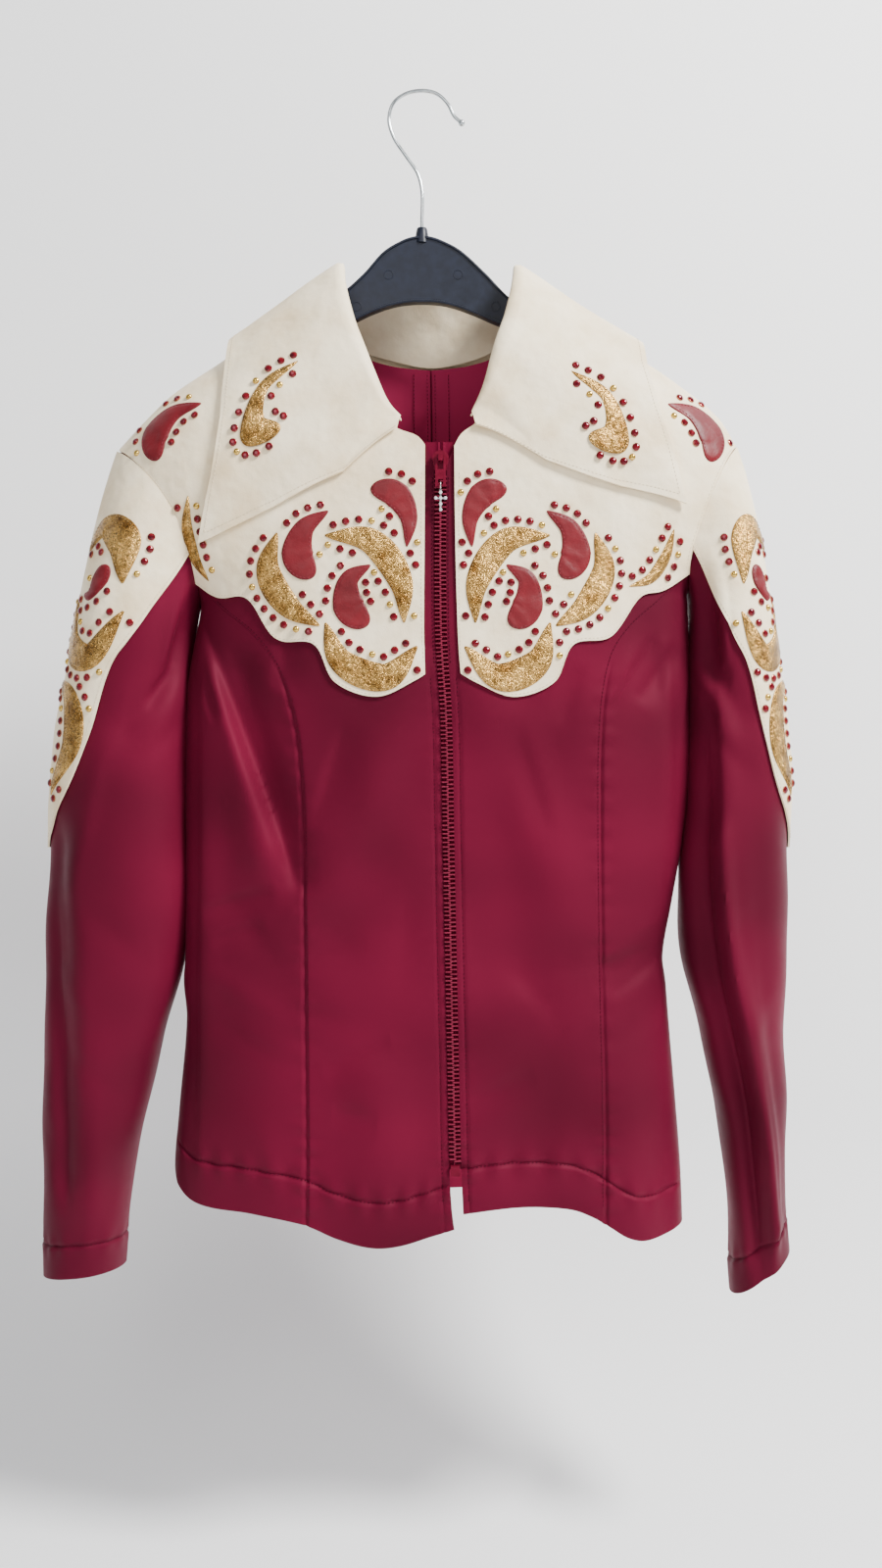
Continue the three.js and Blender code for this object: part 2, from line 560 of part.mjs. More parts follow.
// A side front: from the side seam to the princess seam, pointed at the armhole
const SIDE_COLUMNS = 6;
function addSideFront(name) {
  const out = OUTWARD[name];
  const armhole = path(ARMHOLE[name], 1, PRINCESS_START);
  const start = path(ARMHOLE[name])(PRINCESS_START);
  const princess = path([start, ...PRINCESS[name]]);
  const seam = (t) => [princess(t)[0] + out * SEAM_GAP, princess(t)[1] - 2 * SEAM_GAP];
  const sideTop = ARMHOLE[name].at(-1)[1];
  const hemSide = FRONT_HEM[name][0];
  const hem = hemBetween(name, side[name](hemSide[1]), seam(1)[0]);
  const grid = patch({
    top: (t) => armhole(t),
    bottom: hem,
    left: (t) => {
      const z = sideTop + (hem(0)[1] - sideTop) * t;
      return [side[name](z), z];
    },
    right: (t) => (t < 1 ? seam(t) : hem(1)),
  }, steps(SIDE_COLUMNS, (t) => 1 - Math.cos(t * Math.PI / 2)), steps(SKIRT_ROWS, easeIn(1.25)));
  grid[0] = grid[0].map(([x, z]) => [x - out * SEAM_GAP, z - SEAM_GAP]);
  const points = grid.map((row) => row.map(([x, z]) => bodyPoint(x, z, "front")));
  add(`side_front_${name}`, wall(points, fromSideAxis(name)), satin);
}

// Outward near a side edge: away from a line that runs down inside the body
const SIDE_AXIS = 40;
const fromSideAxis = (name) => (p) =>
  new THREE.Vector3(p.x - (side[name](p.z) - OUTWARD[name] * SIDE_AXIS), 0, 0)
    .setY(p.y);

// Backs: armhole and side seam on one edge, the centre-back seam on the other
const BACK_COLUMNS = 10;
const BACK_YOKE_ROWS = 6;
const BACK_ROWS = 10;
const BACK_MIDDLE = { topX: 5, topZ: -180, bottomX: 12, bottomZ: -768 };
const BACK_NECK_SHARE = 0.68;
const ARMHOLE_BELOW_YOKE = 0.16;
function backGrid(name) {
  const out = OUTWARD[name];
  const armhole = path(ARMHOLE[name]);
  const edge = armhole(BACK_YOKE.atArmhole);
  const { topX, topZ, bottomX, bottomZ } = BACK_MIDDLE;
  const middleX = (z) => topX + (bottomX - topX) * (z - topZ) / (bottomZ - topZ) + out * SEAM_GAP / 2;
  const shoulderEnd = ARMHOLE[name][0][0] - out * SEAM_GAP;
  const neckPoint = BACK_NECKLINE[name][0][0] + out * NECK_CLEARANCE;
  const shoulder = (t) => {
    const x = shoulderEnd + (neckPoint - shoulderEnd) * t;
    return [x, ridge(x)];
  };
  const neckPoints = BACK_NECKLINE[name].map(([x, z], i, all) =>
    [i === all.length - 1 ? middleX(z) : x + out * NECK_CLEARANCE, z - NECK_CLEARANCE / 2]);
  const neck = path(neckPoints);
  const yokeTop = neckPoints.at(-1)[1];
  const yokeLine = path(BACK_YOKE.middle.map(([t, z], i) => {
    const x = edge[0] - out * SEAM_GAP + (middleX(z) - edge[0] + out * SEAM_GAP) * t;
    return [x, i === 0 ? edge[1] : z];
  }));
  const yokeEnd = yokeLine(1)[1];
  const hemHeight = column(BACK_HEM[name].map(([x, z]) => ({ x, z })), "x", "z");
  const sideTop = ARMHOLE[name].at(-1);
  const hemSideX = side[name](BACK_HEM[name][0][1]);
  const hem = (t) => {
    const x = hemSideX + (middleX(BACK_HEM[name].at(-1)[1]) - hemSideX) * t;
    return [x, hemHeight(x)];
  };
  const armholeBelow = path(ARMHOLE[name], BACK_YOKE.atArmhole, 1);
  const sideSeam = (t) => {
    const z = sideTop[1] + (hem(0)[1] - sideTop[1]) * t;
    return [side[name](z), z];
  };
  const us = steps(BACK_COLUMNS, (t) => 1 - Math.cos(t * Math.PI / 2));
  const upper = patch({
    top: joined(shoulder, neck, BACK_NECK_SHARE),
    bottom: yokeLine,
    left: shifted(path(ARMHOLE[name], 0, BACK_YOKE.atArmhole), -out * SEAM_GAP),
    right: (t) => {
      const z = yokeTop + (yokeEnd - yokeTop) * t;
      return [middleX(z), z];
    },
  }, us, steps(BACK_YOKE_ROWS, easeIn(1.6)));
  const lower = patch({
    top: yokeLine,
    bottom: hem,
    left: joined(shifted(armholeBelow, -out * SEAM_GAP), sideSeam, ARMHOLE_BELOW_YOKE),
    right: (t) => {
      const z = yokeEnd + (hem(1)[1] - yokeEnd) * t;
      return [middleX(z), z];
    },
  }, us, steps(BACK_ROWS, (t) => t));
  return [...upper, ...lower.slice(1)];
}

function addBacks() {
  const grids = SIDES.map((name) => lift(backGrid(name), "back"));
  SIDES.forEach((name, k) => add(`back_${name}`, wall(grids[k], fromBodyAxis), satin));
  const yoke = grids[0].slice(0, BACK_YOKE_ROWS + 1)
    .map((row, i) => [...row, ...[...grids[1][i]].reverse().slice(1)]);
  add("back_yoke", wall(yoke, fromBodyAxis, { out: YOKE_GAP + LEATHER, inner: YOKE_GAP }), ivory);
}

// Sleeves: rings round a table of sizes, and a cap that carries the armhole loop into the first ring
const RING = 24;
const CAP_ROWS = 7;
const ARM_ROWS = 8;
const CAP_LEAVES = {
  outer: { x: 0.34, y: 0, z: -0.94 },
  front: { x: 0.62, y: 0.2, z: -0.74 },
  inner: { x: 0.8, y: 0, z: -0.6 },
};
const SLEEVE_SHIFT = 0.9;

// A point of a sleeve below the armpit at an angle (radians) and height
function ringPoint(name, angle, z) {
  const row = sleeveColumns[name];
  const middle = (row.outer(z) + row.inner(z)) / 2;
  const half = Math.abs(row.outer(z) - row.inner(z)) / 2;
  const c = Math.cos(angle);
  const s = Math.sin(angle);
  const squared = (v) => Math.sign(v) * Math.pow(Math.abs(v), 2 / SLEEVE_SQUARENESS);
  const degrees = THREE.MathUtils.euclideanModulo(THREE.MathUtils.radToDeg(angle), 360);
  const swollen = folds(SLEEVE_FOLDS[name].map((fold) => ({
    ...fold, fromX: fold.fromAngle, toX: fold.toAngle,
  })), degrees, z);
  const depth = s > 0 ? row.front(z) : row.back(z);
  const slant = CUFF_SLANT[name] * c * THREE.MathUtils.smoothstep(-z, 700, 812);
  return new THREE.Vector3(
    middle + OUTWARD[name] * (half * squared(c) + swollen * c),
    -(depth * squared(s) + swollen * s),
    z + slant,
  );
}
const sleeveColumns = Object.fromEntries(SIDES.map((name) => [name, Object.fromEntries(
  ["outer", "inner", "front", "back"].map((key) => [key, column(SLEEVE[name], "z", key)]),
)]));

// The point of the armhole loop at an angle, just outside the body
function armholePoint(name, angle) {
  const share = (1 - Math.cos(angle)) / 2;
  const [x, z] = path(ARMHOLE[name])(share);
  const p = bodyPoint(x, z, Math.sin(angle) > 0 ? "front" : "back");
  p.x += OUTWARD[name] * SLEEVE_SHIFT;
  return p;
}

// The direction in which the cap leaves the armhole at an angle
function leaving(name, angle) {
  const c = Math.cos(angle);
  const ends = c > 0 ? CAP_LEAVES.outer : CAP_LEAVES.inner;
  const k = Math.abs(c);
  const mix = (key) => CAP_LEAVES.front[key] + (ends[key] - CAP_LEAVES.front[key]) * k;
  const y = -Math.sign(Math.sin(angle)) * mix("y");
  return new THREE.Vector3(OUTWARD[name] * mix("x"), y, mix("z")).normalize();
}

// The sleeve's outer surface: `down` runs from 0 at the armhole to 1 at the armpit ring, and then
// on by height to the cuff
const firstRing = (name) => SLEEVE[name][0].z;
const cuffZ = (name) => SLEEVE[name].at(-1).z;
function sleevePoint(name, angle, down, z) {
  if (down >= 1) return ringPoint(name, angle, z);
  const a = armholePoint(name, angle);
  const b = ringPoint(name, angle, firstRing(name));
  const reach = a.distanceTo(b);
  const below = ringPoint(name, angle, firstRing(name) - 8).sub(b).normalize();
  const t = down;
  const s = 1 - t;
  return a.clone().multiplyScalar(s * s * (1 + 2 * t))
    .addScaledVector(b, t * t * (1 + 2 * s))
    .addScaledVector(leaving(name, angle), reach * t * s * s)
    .addScaledVector(below, -reach * t * t * s);
}

function sleeveRows(name) {
  const cap = steps(CAP_ROWS).slice(0, -1).map((t) => ({ down: t, z: 0 }));
  const length = cuffZ(name) - firstRing(name);
  const arm = steps(ARM_ROWS).map((t) => ({ down: 1, z: firstRing(name) + length * t }));
  return [...cap, ...arm];
}

const fromSleeveAxis = (name) => (p) => {
  const z = Math.min(firstRing(name), p.z);
  const row = sleeveColumns[name];
  return new THREE.Vector3(p.x - (row.outer(z) + row.inner(z)) / 2, p.y, 0);
};

function addSleeve(name) {
  const grid = sleeveRows(name).map(({ down, z }) => steps(RING).slice(0, -1).map((t) =>
    sleevePoint(name, (t + 0.5 / RING) * 2 * Math.PI, down, z)));
  add(`sleeve_${name}`, wall(grid, fromSleeveAxis(name), { closed: true }), satin);
}

// A place on the sleeve by its angle in degrees and height, down the cap or the arm
function onSleeve(name, degrees, z, out) {
  const angle = THREE.MathUtils.degToRad(degrees);
  const at = (turn, height) => {
    const top = armholePoint(name, turn).z;
    const bottom = ringPoint(name, turn, firstRing(name)).z;
    const down = Math.max(0, (height - top) / (bottom - top));
    return sleevePoint(name, turn, down, Math.min(height, firstRing(name)));
  };
  const turn = 0.05;
  const drop = 2;
  const p = at(angle, z);
  const normal = at(angle + turn, z).sub(at(angle - turn, z))
    .cross(at(angle, z - drop).sub(at(angle, z + drop))).normalize();
  if (normal.dot(fromSleeveAxis(name)(p)) < 0) normal.negate();
  return p.addScaledVector(normal, out);
}

const CAP_COLUMNS = 10;
const CAP_PIECE_ROWS = 11;
const CAP_TOP_SHARE = 0.02;
function addSleeveCap(name) {
  const spread = column(CAP_SPREAD, "z", "spread");
  const tip = CAP_SPREAD.at(-1).z;
  const rows = steps(CAP_PIECE_ROWS).map((t) => steps(CAP_COLUMNS, (s) => 2 * s - 1).map((s) => {
    const topAngle = CAP_SPREAD[0].spread * s;
    const top = armholePoint(name, THREE.MathUtils.degToRad(topAngle)).z;
    const reach = t * (1 - CAP_TOP_SHARE) + CAP_TOP_SHARE;
    const z = top + (tip - top) * reach;
    return onSleeve(name, spread(z) * s, z, 0);
  }));
  const offsets = { out: ON_SLEEVE_GAP + LEATHER, inner: ON_SLEEVE_GAP };
  add(`sleeve_cap_${name}`, wall(rows, fromSleeveAxis(name), offsets), ivory);
}

// Distance from the shoulder ridge measured over its round, from distance measured straight down
function overRidge(w) {
  const h = Math.abs(w);
  const round = Math.min(h, SHOULDER_ROUND);
  return Math.sign(w) * (SHOULDER_ROUND * Math.acos(1 - round / SHOULDER_ROUND) + h - round);
}

// Collar: up the stand, over the roll and down the fall, one leather wall. A place on it is x, the
// distance over the ridge (front positive), and how far it stands off the garment.
function collarPoint(x, over, out) {
  const quarter = SHOULDER_ROUND * Math.PI / 2;
  const far = Math.abs(over);
  const turn = Math.min(far, quarter) / SHOULDER_ROUND;
  const drop = SHOULDER_ROUND * (1 - Math.cos(turn)) + far - Math.min(far, quarter);
  const face = over > 0 ? "front" : "back";
  const p = bodyPoint(x, ridge(x) - drop, face);
  const depth = swell[face](p.z);
  const normal = new THREE.Vector3(0, Math.sin(turn) * SHOULDER_ROUND, Math.cos(turn) * depth).normalize();
  if (over > 0) normal.y = -normal.y;
  const lift = COLLAR_LIFT.overRidge * Math.exp(-((over / COLLAR_LIFT.ridgeReach) ** 2));
  return p.addScaledVector(normal, out + (out > COLLAR_ROLL ? lift : lift * out / COLLAR_ROLL));
}

function collarGrid() {
  const count = (COLLAR.length - 1) * COLLAR_STEPS;
  const table = COLLAR.map((row, s) => ({
    s, seamX: row.seamX, foldX: row.foldX, edgeX: row.edgeX,
    seamOver: overRidge(row.seamW), foldOver: overRidge(row.foldW), edgeOver: overRidge(row.edgeW),
  }));
  const read = Object.fromEntries(["seamX", "seamOver", "foldX", "foldOver"].map((key) =>
    [key, column(table, "s", key)]));
  const straight = (key, s) => {
    const i = Math.min(COLLAR.length - 2, Math.floor(s));
    return table[i][key] + (table[i + 1][key] - table[i][key]) * (s - i);
  };
  return steps(count).map((t) => {
    const s = t * (COLLAR.length - 1);
    const seam = [read.seamX(s), read.seamOver(s)];
    const fold = [read.foldX(s), read.foldOver(s)];
    const edge = [straight("edgeX", s), straight("edgeOver", s)];
    const mix = (a, b, k) => [a[0] + (b[0] - a[0]) * k, a[1] + (b[1] - a[1]) * k];
    const reach = Math.hypot(edge[0] - fold[0], edge[1] - fold[1]);
    const back = mix(fold, edge, -COLLAR_ROLL / reach);
    const fall = steps(COLLAR_FALL_ROWS).map((k) => {
      const place = mix(fold, edge, COLLAR_FALL.start + (1 - COLLAR_FALL.start) * k);
      return collarPoint(...place, COLLAR_CLEARANCE + COLLAR_FALL.extraOut * (1 - k) ** 2);
    });
    return [
      ...COLLAR_STAND.map(({ share, out }) => collarPoint(...mix(seam, fold, share), out)),
      collarPoint(...back, COLLAR_ROLL_OUT),
      ...fall,
    ];
  });
}

function addCollar() {
  const half = COLLAR_LEATHER / 2;
  add("collar", wall(collarGrid(), fromBodyAxis, { out: half, inner: -half }), ivory);
}

// Applique: a band along a line, its width swelling and tapering
const MOTIF_STEPS = 8;
const MOTIF_ACROSS = 2;
// Share of the full width along the line: a leaf swells in the middle, and a drop swells quickly and
// tapers away. Both keep a blunt tip.
const BLUNT = 0.04;
const LEAF_FULLNESS = 0.8;
const DROP = { swellSpeed: 1.25, taper: 0.55, tailWidth: 0.06 };
const PROFILE = {
  leaf: (t) => Math.sin(Math.PI * (BLUNT + (1 - 2 * BLUNT) * t)) ** LEAF_FULLNESS,
  drop: (t) => {
    const swelling = Math.sin(Math.PI * Math.min(0.5, BLUNT + t * DROP.swellSpeed));
    return Math.sqrt(swelling) * (1 - t) ** DROP.taper + DROP.tailWidth;
  },
};
// `scale` turns the line's first coordinate into millimetres, so that widths are real
function motifGrid({ line, width, shape }, place, scale = 1) {
  const curve = path(line.map(([a, z]) => [a * scale, z]));
  const step = 0.01;
  return steps(MOTIF_STEPS).map((t) => {
    const [x, z] = curve(t);
    const before = curve(Math.max(0, t - step));
    const after = curve(Math.min(1, t + step));
    const length = Math.hypot(after[0] - before[0], after[1] - before[1]);
    const across = [-(after[1] - before[1]) / length, (after[0] - before[0]) / length];
    const half = width / 2 * PROFILE[shape](t);
    return steps(MOTIF_ACROSS, (s) => (2 * s - 1) * half)
      .map((d) => place((x + across[0] * d) / scale, z + across[1] * d));
  });
}

const RIGHT_SQUEEZE = 0.95;
function addYokeMotif(name, motif) {
  const base = YOKE_GAP + LEATHER + APPLIQUE_GAP;
  const squeeze = name === "left" ? 1 : RIGHT_SQUEEZE;
  const line = (name === "right" && motif.rightLine) || motif.line;
  const place = (d, z) => onBody(zipX(z) + OUTWARD[name] * d * squeeze, z, "front", base);
  const grid = motifGrid({ ...motif, line }, place);
  add(`${motif.name}_${name}`, wall(grid, fromBodyAxis, { out: APPLIQUE, inner: 0 }), foil[motif.tone]);
}

const SLEEVE_MM_PER_DEGREE = 0.7;
function addSleeveMotif(name, motif) {
  const base = ON_SLEEVE_GAP + LEATHER + SLEEVE_APPLIQUE_GAP;
  const grid = motifGrid(motif, (degrees, z) => onSleeve(name, degrees, z, base), SLEEVE_MM_PER_DEGREE);
  const offsets = { out: APPLIQUE, inner: 0 };
  add(`${motif.name}_${name}`, wall(grid, fromSleeveAxis(name), offsets), foil[motif.tone]);
}

function addCollarMotif(name) {
  const base = COLLAR_CLEARANCE + COLLAR_LEATHER / 2 + COLLAR_MOTIF_GAP;
  const place = (x, w) => collarPoint(name === "left" ? x : 2 * COLLAR_MIDDLE - x, overRidge(w), base);
  const grid = motifGrid({ ...COLLAR_MOTIF, shape: "drop" }, place);
  add(`collar_drop_${name}`, wall(grid, fromBodyAxis, { out: APPLIQUE, inner: 0 }), foil.gold);
}

// Zip: tapes inside the front edges, the tooth chain between them, and its hardware
const ZIP_ROWS = 20;
function zipStrip(fromX, toX, top, bottom, out) {
  return steps(ZIP_ROWS).map((t) => {
    const z = top + (bottom - top) * t;
    return [fromX, toX].map((dx) => onBody(zipX(z) + dx, z, "front", out));
  });
}

function addZip() {
  SIDES.forEach((name) => {
    const out = OUTWARD[name];
    const grid = zipStrip(out * TAPE.inner, out * TAPE.width, TAPE.top, TAPE.bottom, -TAPE.depth);
    add(`zip_tape_${name}`, wall(grid, fromBodyAxis, { out: 0, inner: -TAPE.thickness }), tapeCloth);
  });
  const chain = zipStrip(-CHAIN.halfWidth, CHAIN.halfWidth, CHAIN.top, CHAIN.bottom, 0);
  add("zip_chain", wall(chain, fromBodyAxis, { out: CHAIN.out, inner: CHAIN.inward }), zipPlastic);
  const box = new THREE.BoxGeometry(BOX.width, BOX.thickness, BOX.height);
  const stop = add("zip_box", box, zipPlastic);
  stop.position.copy(onBody(zipX(BOX.z), BOX.z, "front", 0.4));
}

// A flat outline in x and z, pushed `thickness` along +Y from y
function plate(points, y, thickness, holes = []) {
  const shape = new THREE.Shape(points.map(([x, z]) => new THREE.Vector2(x, z)));
  holes.forEach((hole) => shape.holes.push(new THREE.Path(hole.map(([x, z]) => new THREE.Vector2(x, z)))));
  const geometry = new THREE.ExtrudeGeometry(shape, { depth: thickness, bevelEnabled: false });
  geometry.rotateX(Math.PI / 2);
  geometry.translate(0, y + thickness, 0);
  return geometry;
}

const arc = (cx, cz, rx, rz, from, to, count) => steps(count).map((t) => {
  const a = THREE.MathUtils.degToRad(from + (to - from) * t);
  return [cx + rx * Math.cos(a), cz + rz * Math.sin(a)];
});

// Joins or cuts solids: their vertices are merged first, and only positions are kept.
const wasm = await Module();
wasm.setup();
function toManifold(geometry) {
  const bare = geometry.clone();
  bare.deleteAttribute("normal");
  bare.deleteAttribute("uv");
  const merged = mergeVertices(bare, 1e-4);
  return new wasm.Manifold(new wasm.Mesh({
    numProp: 3,
    vertProperties: merged.attributes.position.array,
    triVerts: new Uint32Array(merged.index.array),
  }));
}

function fromManifold(made) {
  const mesh = made.getMesh();
  const geometry = new THREE.BufferGeometry();
  geometry.setAttribute("position", new THREE.BufferAttribute(mesh.vertProperties, 3));
  geometry.setIndex(new THREE.BufferAttribute(mesh.triVerts, 1));
  geometry.computeVertexNormals();
  return geometry;
}

const join = (...parts) => fromManifold(parts.map(toManifold).reduce((a, b) => a.add(b)));
const cut = (part, tool) => fromManifold(toManifold(part).subtract(toManifold(tool)));

// A rectangle's corners between two x and two z values
const rectangle = (x0, x1, z0, z1) => [[x0, z0], [x1, z0], [x1, z1], [x0, z1]];

// Slider body and its raised bridge, in front of the chain, and the tab that swings on the bridge
function addPuller() {
  const x = zipX(SLIDER.z);
  const back = onBody(x, SLIDER.z, "front", CHAIN.out + SEAM_GAP).y;
  const face = back - SLIDER.thickness;
  const pivotY = face - PULL.pivotOut;
  const pivotZ = SLIDER.z + PULL.pivotUp;
  const half = SLIDER.width / 2;
  const foot = SLIDER.z - SLIDER.height / 2;
  const outline = [...arc(x, foot + SLIDER.height - half, half, half, 0, 180, 10),
    [x - half * SLIDER.footShare, foot], [x + half * SLIDER.footShare, foot]];
  const { room, wall: rim, width } = BRIDGE;
  const box = (x0, x1, y0, y1, z0, z1) => new THREE.BoxGeometry(x1 - x0, y1 - y0, z1 - z0)
    .translate((x0 + x1) / 2, (y0 + y1) / 2, (z0 + z1) / 2);
  const reach = room + rim;
  const arch = cut(
    box(x - width / 2, x + width / 2, pivotY - reach, face + BRIDGE.root, pivotZ - reach, pivotZ + reach),
    box(x - width, x + width, pivotY - room, face, pivotZ - room, pivotZ + room),
  );
  add("zip_slider", join(plate(outline, face, SLIDER.thickness), arch), zipPlastic);

  const bar = PULL.bar / 2;
  const tabHalf = PULL.width / 2;
  const slot = rectangle(x - PULL.slot / 2, x + PULL.slot / 2, pivotZ - PULL.slotEnd, pivotZ - bar);
  const ringZ = pivotZ - PULL.length + PULL.bar + bar;
  const eye = rectangle(x - PULL.eye / 2, x + PULL.eye / 2, ringZ + bar, ringZ + bar + PULL.eye);
  const tab = rectangle(x - tabHalf, x + tabHalf, ringZ - bar, pivotZ + bar);
  add("zip_pull", plate(tab, pivotY - PULL.thickness / 2, PULL.thickness, [slot, eye]), zipPlastic);

  const ring = new THREE.TorusGeometry(RING_SIZE.radius, RING_SIZE.wire / 2, 6, 14)
    .rotateY(Math.PI / 2).translate(x, pivotY, ringZ);
  const top = ringZ - RING_SIZE.radius + 0.2;
  const arm = CHARM.width / 2;
  const stem = CHARM.stem / 2;
  const crossZ = top - CHARM.length * CHARM.armAt;
  const cross = [[x - stem, top], [x - stem, crossZ + stem], [x - arm, crossZ + stem],
    [x - arm, crossZ - stem], [x - stem, crossZ - stem], [x - stem, top - CHARM.length],
    [x + stem, top - CHARM.length],
    [x + stem, crossZ - stem], [x + arm, crossZ - stem], [x + arm, crossZ + stem], [x + stem, crossZ + stem],
    [x + stem, top]];
  add("zip_charm", join(ring, plate(cross, pivotY - CHARM.thickness / 2, CHARM.thickness)), crystal);
}

// Hanger: a flat moulded body whose arms follow the shoulders from below, with a socket for the hook
function addHanger() {
  const top = (x) => ridge(x) - HANGER_BELOW_RIDGE;
  const armDepth = (x) => {
    const end = x < 0 ? HANGER.endX.left : HANGER.endX.right;
    const t = Math.abs(x) / Math.abs(end);
    return HANGER.armDepth + (HANGER.endDepth - HANGER.armDepth) * t;
  };
  const armXs = (from, to) => steps(ARM_STEPS).map((t) => from + (to - from) * t);
  const socket = HANGER.socket / 2;
  const outline = [
    ...armXs(HANGER.endX.left, HANGER.neck.left).map((x) => [x, top(x)]),
    ...HANGER_NECK_TOP.filter(([x]) => x < HOOK_LINE[0][0]),
    [HOOK_LINE[0][0] - socket, HANGER.socketTop],
    [HOOK_LINE[0][0] + socket, HANGER.socketTop],
    ...HANGER_NECK_TOP.filter(([x]) => x > HOOK_LINE[0][0]),
    ...armXs(HANGER.neck.right, HANGER.endX.right).map((x) => [x, top(x)]),
    ...armXs(HANGER.endX.right, HANGER.neck.right).map((x) => [x, top(x) - armDepth(x)]),
    ...HANGER_NECK_BOTTOM,
    ...armXs(HANGER.neck.left, HANGER.endX.left).map((x) => [x, top(x) - armDepth(x)]),
  ];
  const hookFoot = HOOK_LINE[0][1];
  const bore = new THREE.CylinderGeometry(HOOK_WIRE / 2 + SEAM_GAP, HOOK_WIRE / 2 + SEAM_GAP, 24, 16)
    .rotateX(Math.PI / 2).translate(HOOK_LINE[0][0], 0, hookFoot - SEAM_GAP + 12);
  add("hanger", cut(plate(outline, -HANGER.thickness / 2, HANGER.thickness), bore), hangerPlastic);

  const places = HOOK_LINE.map(([x, z]) => new THREE.Vector3(x, 0, z));
  const line = new THREE.CatmullRomCurve3(places, false, "centripetal");
  const round = new THREE.Shape().absarc(0, 0, HOOK_WIRE / 2, 0, 2 * Math.PI);
  const wire = new THREE.ExtrudeGeometry(round, { extrudePath: line, steps: HOOK_STEPS, curveSegments: 4 });
  const [ballX, ballZ] = HOOK_LINE.at(-1);
  const ball = new THREE.SphereGeometry(HOOK_BALL / 2, 12, 8).translate(ballX, 0, ballZ);
  add("hook", join(wire, ball), steel);
}

SIDES.forEach(addFronts);
SIDES.forEach(addSideFront);
addBacks();
SIDES.forEach(addSleeve);
SIDES.forEach(addSleeveCap);
addCollar();
SIDES.forEach((name) => YOKE_MOTIFS.forEach((motif) => addYokeMotif(name, motif)));
SIDES.forEach((name) => SLEEVE_MOTIFS.forEach((motif) => addSleeveMotif(name, motif)));
SIDES.forEach(addCollarMotif);
addZip();
addPuller();
addHanger();

export default blouse;
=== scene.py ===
# Western show blouse on its hanger: stretch-satin panels, ivory leather yokes and collar,
# foil and red leather applique, a moulded zip, and a black hanger with a wire hook.
from functools import partial
from math import radians

import bpy
import numpy as np
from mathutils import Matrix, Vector


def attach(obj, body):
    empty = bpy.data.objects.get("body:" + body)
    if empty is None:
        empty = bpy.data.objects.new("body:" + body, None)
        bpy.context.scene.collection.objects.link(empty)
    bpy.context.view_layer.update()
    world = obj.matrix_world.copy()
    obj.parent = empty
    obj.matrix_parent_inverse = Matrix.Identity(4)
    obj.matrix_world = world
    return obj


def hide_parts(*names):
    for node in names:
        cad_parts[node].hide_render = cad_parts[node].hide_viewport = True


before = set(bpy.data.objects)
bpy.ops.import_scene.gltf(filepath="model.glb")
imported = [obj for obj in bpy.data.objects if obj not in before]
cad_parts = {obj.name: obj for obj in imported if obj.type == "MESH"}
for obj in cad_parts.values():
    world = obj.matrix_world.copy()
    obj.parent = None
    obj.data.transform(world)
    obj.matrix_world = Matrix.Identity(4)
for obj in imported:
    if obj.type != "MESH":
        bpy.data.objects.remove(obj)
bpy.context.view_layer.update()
sides = ("left", "right")
outward = {"left": -1, "right": 1}
print("frame loaded:", len(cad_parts), "nodes")

# The garment in millimetres: at each height, the x of the two side seams, and how far the front and
# the back stand off the middle plane.
body = {
    "z": [-100, -200, -250, -283, -305, -328, -345, -355, -384, -418, -465, -520, -560, -596, -614,
          -640, -700, -740, -800],
    "left": [-240, -232, -222, -205, -190, -173, -156, -153, -158, -163.5, -164.5, -164, -164, -164,
             -165, -163, -168, -171, -170],
    "right": [246, 238, 228, 216, 206, 192, 182, 182, 183, 184, 184, 178, 171, 165, 167, 169, 174,
              177, 179],
    "front": [40, 44, 48, 48.4, 48.7, 49, 50, 50, 50, 50, 48, 46, 45, 45, 46, 47, 49, 50, 51],
    "back": [38, 42, 43, 44, 44, 44, 44, 44, 43, 42, 41, 40, 39, 39, 39, 40, 42, 43, 44],
}
shape = {"squareness": 2.6, "shoulderRound": 68, "sideGap": 0.5, "seamGap": 0.0,
         "neckClearance": 3.2, "yokeRaise": 0.5, "leather": 1.3, "cloth": 1.0, "zipHalf": 4.0,
         "wavesBelow": -330, "waveHeight": 0.7}
# Lines of the cut seen from the front, each point (x, z), except the zip's, which is (z, x).
ridgeTable = [(-209, -249), (-191, -230), (-171, -211), (-138, -189), (-100, -162), (-62, -137),
              (-30, -122), (5, -118), (40, -123), (71, -139), (113, -166), (153, -190), (175, -205),
              (202, -227), (214, -246)]
zipTable = [(-240, 12), (-374, 12), (-435, 15.5), (-515, 17), (-660, 20), (-730, 21.5), (-800, 24)]
armholes = {
    "left": [(-209, -249.5), (-195, -260), (-180, -276), (-167, -296), (-159, -315), (-154, -335),
             (-153, -354)],
    "right": [(214, -246.5), (205, -259), (195, -281), (187, -303), (181, -322), (179.5, -333),
              (182, -346)],
}
princessStart = 0.9
princessSeams = {
    "left": [(-137, -359), (-114, -378), (-99, -398), (-89, -423), (-83, -453), (-80, -500),
             (-79, -560), (-78, -640), (-77, -710), (-77, -770)],
    "right": [(160, -355), (141, -372), (129, -389), (122, -415), (119, -455), (119, -512),
              (120, -581), (121, -642), (122, -700), (122, -765)],
}
yokeLines = {
    "left": [(-137, -353), (-118, -354), (-97, -382), (-72, -386), (-58, -411), (-30, -421),
             (-6, -411)],
    "right": [(160, -349), (146, -353), (124, -381), (100, -386), (87, -411), (60, -421),
              (36, -412)],
}
yokeAtZip = -401
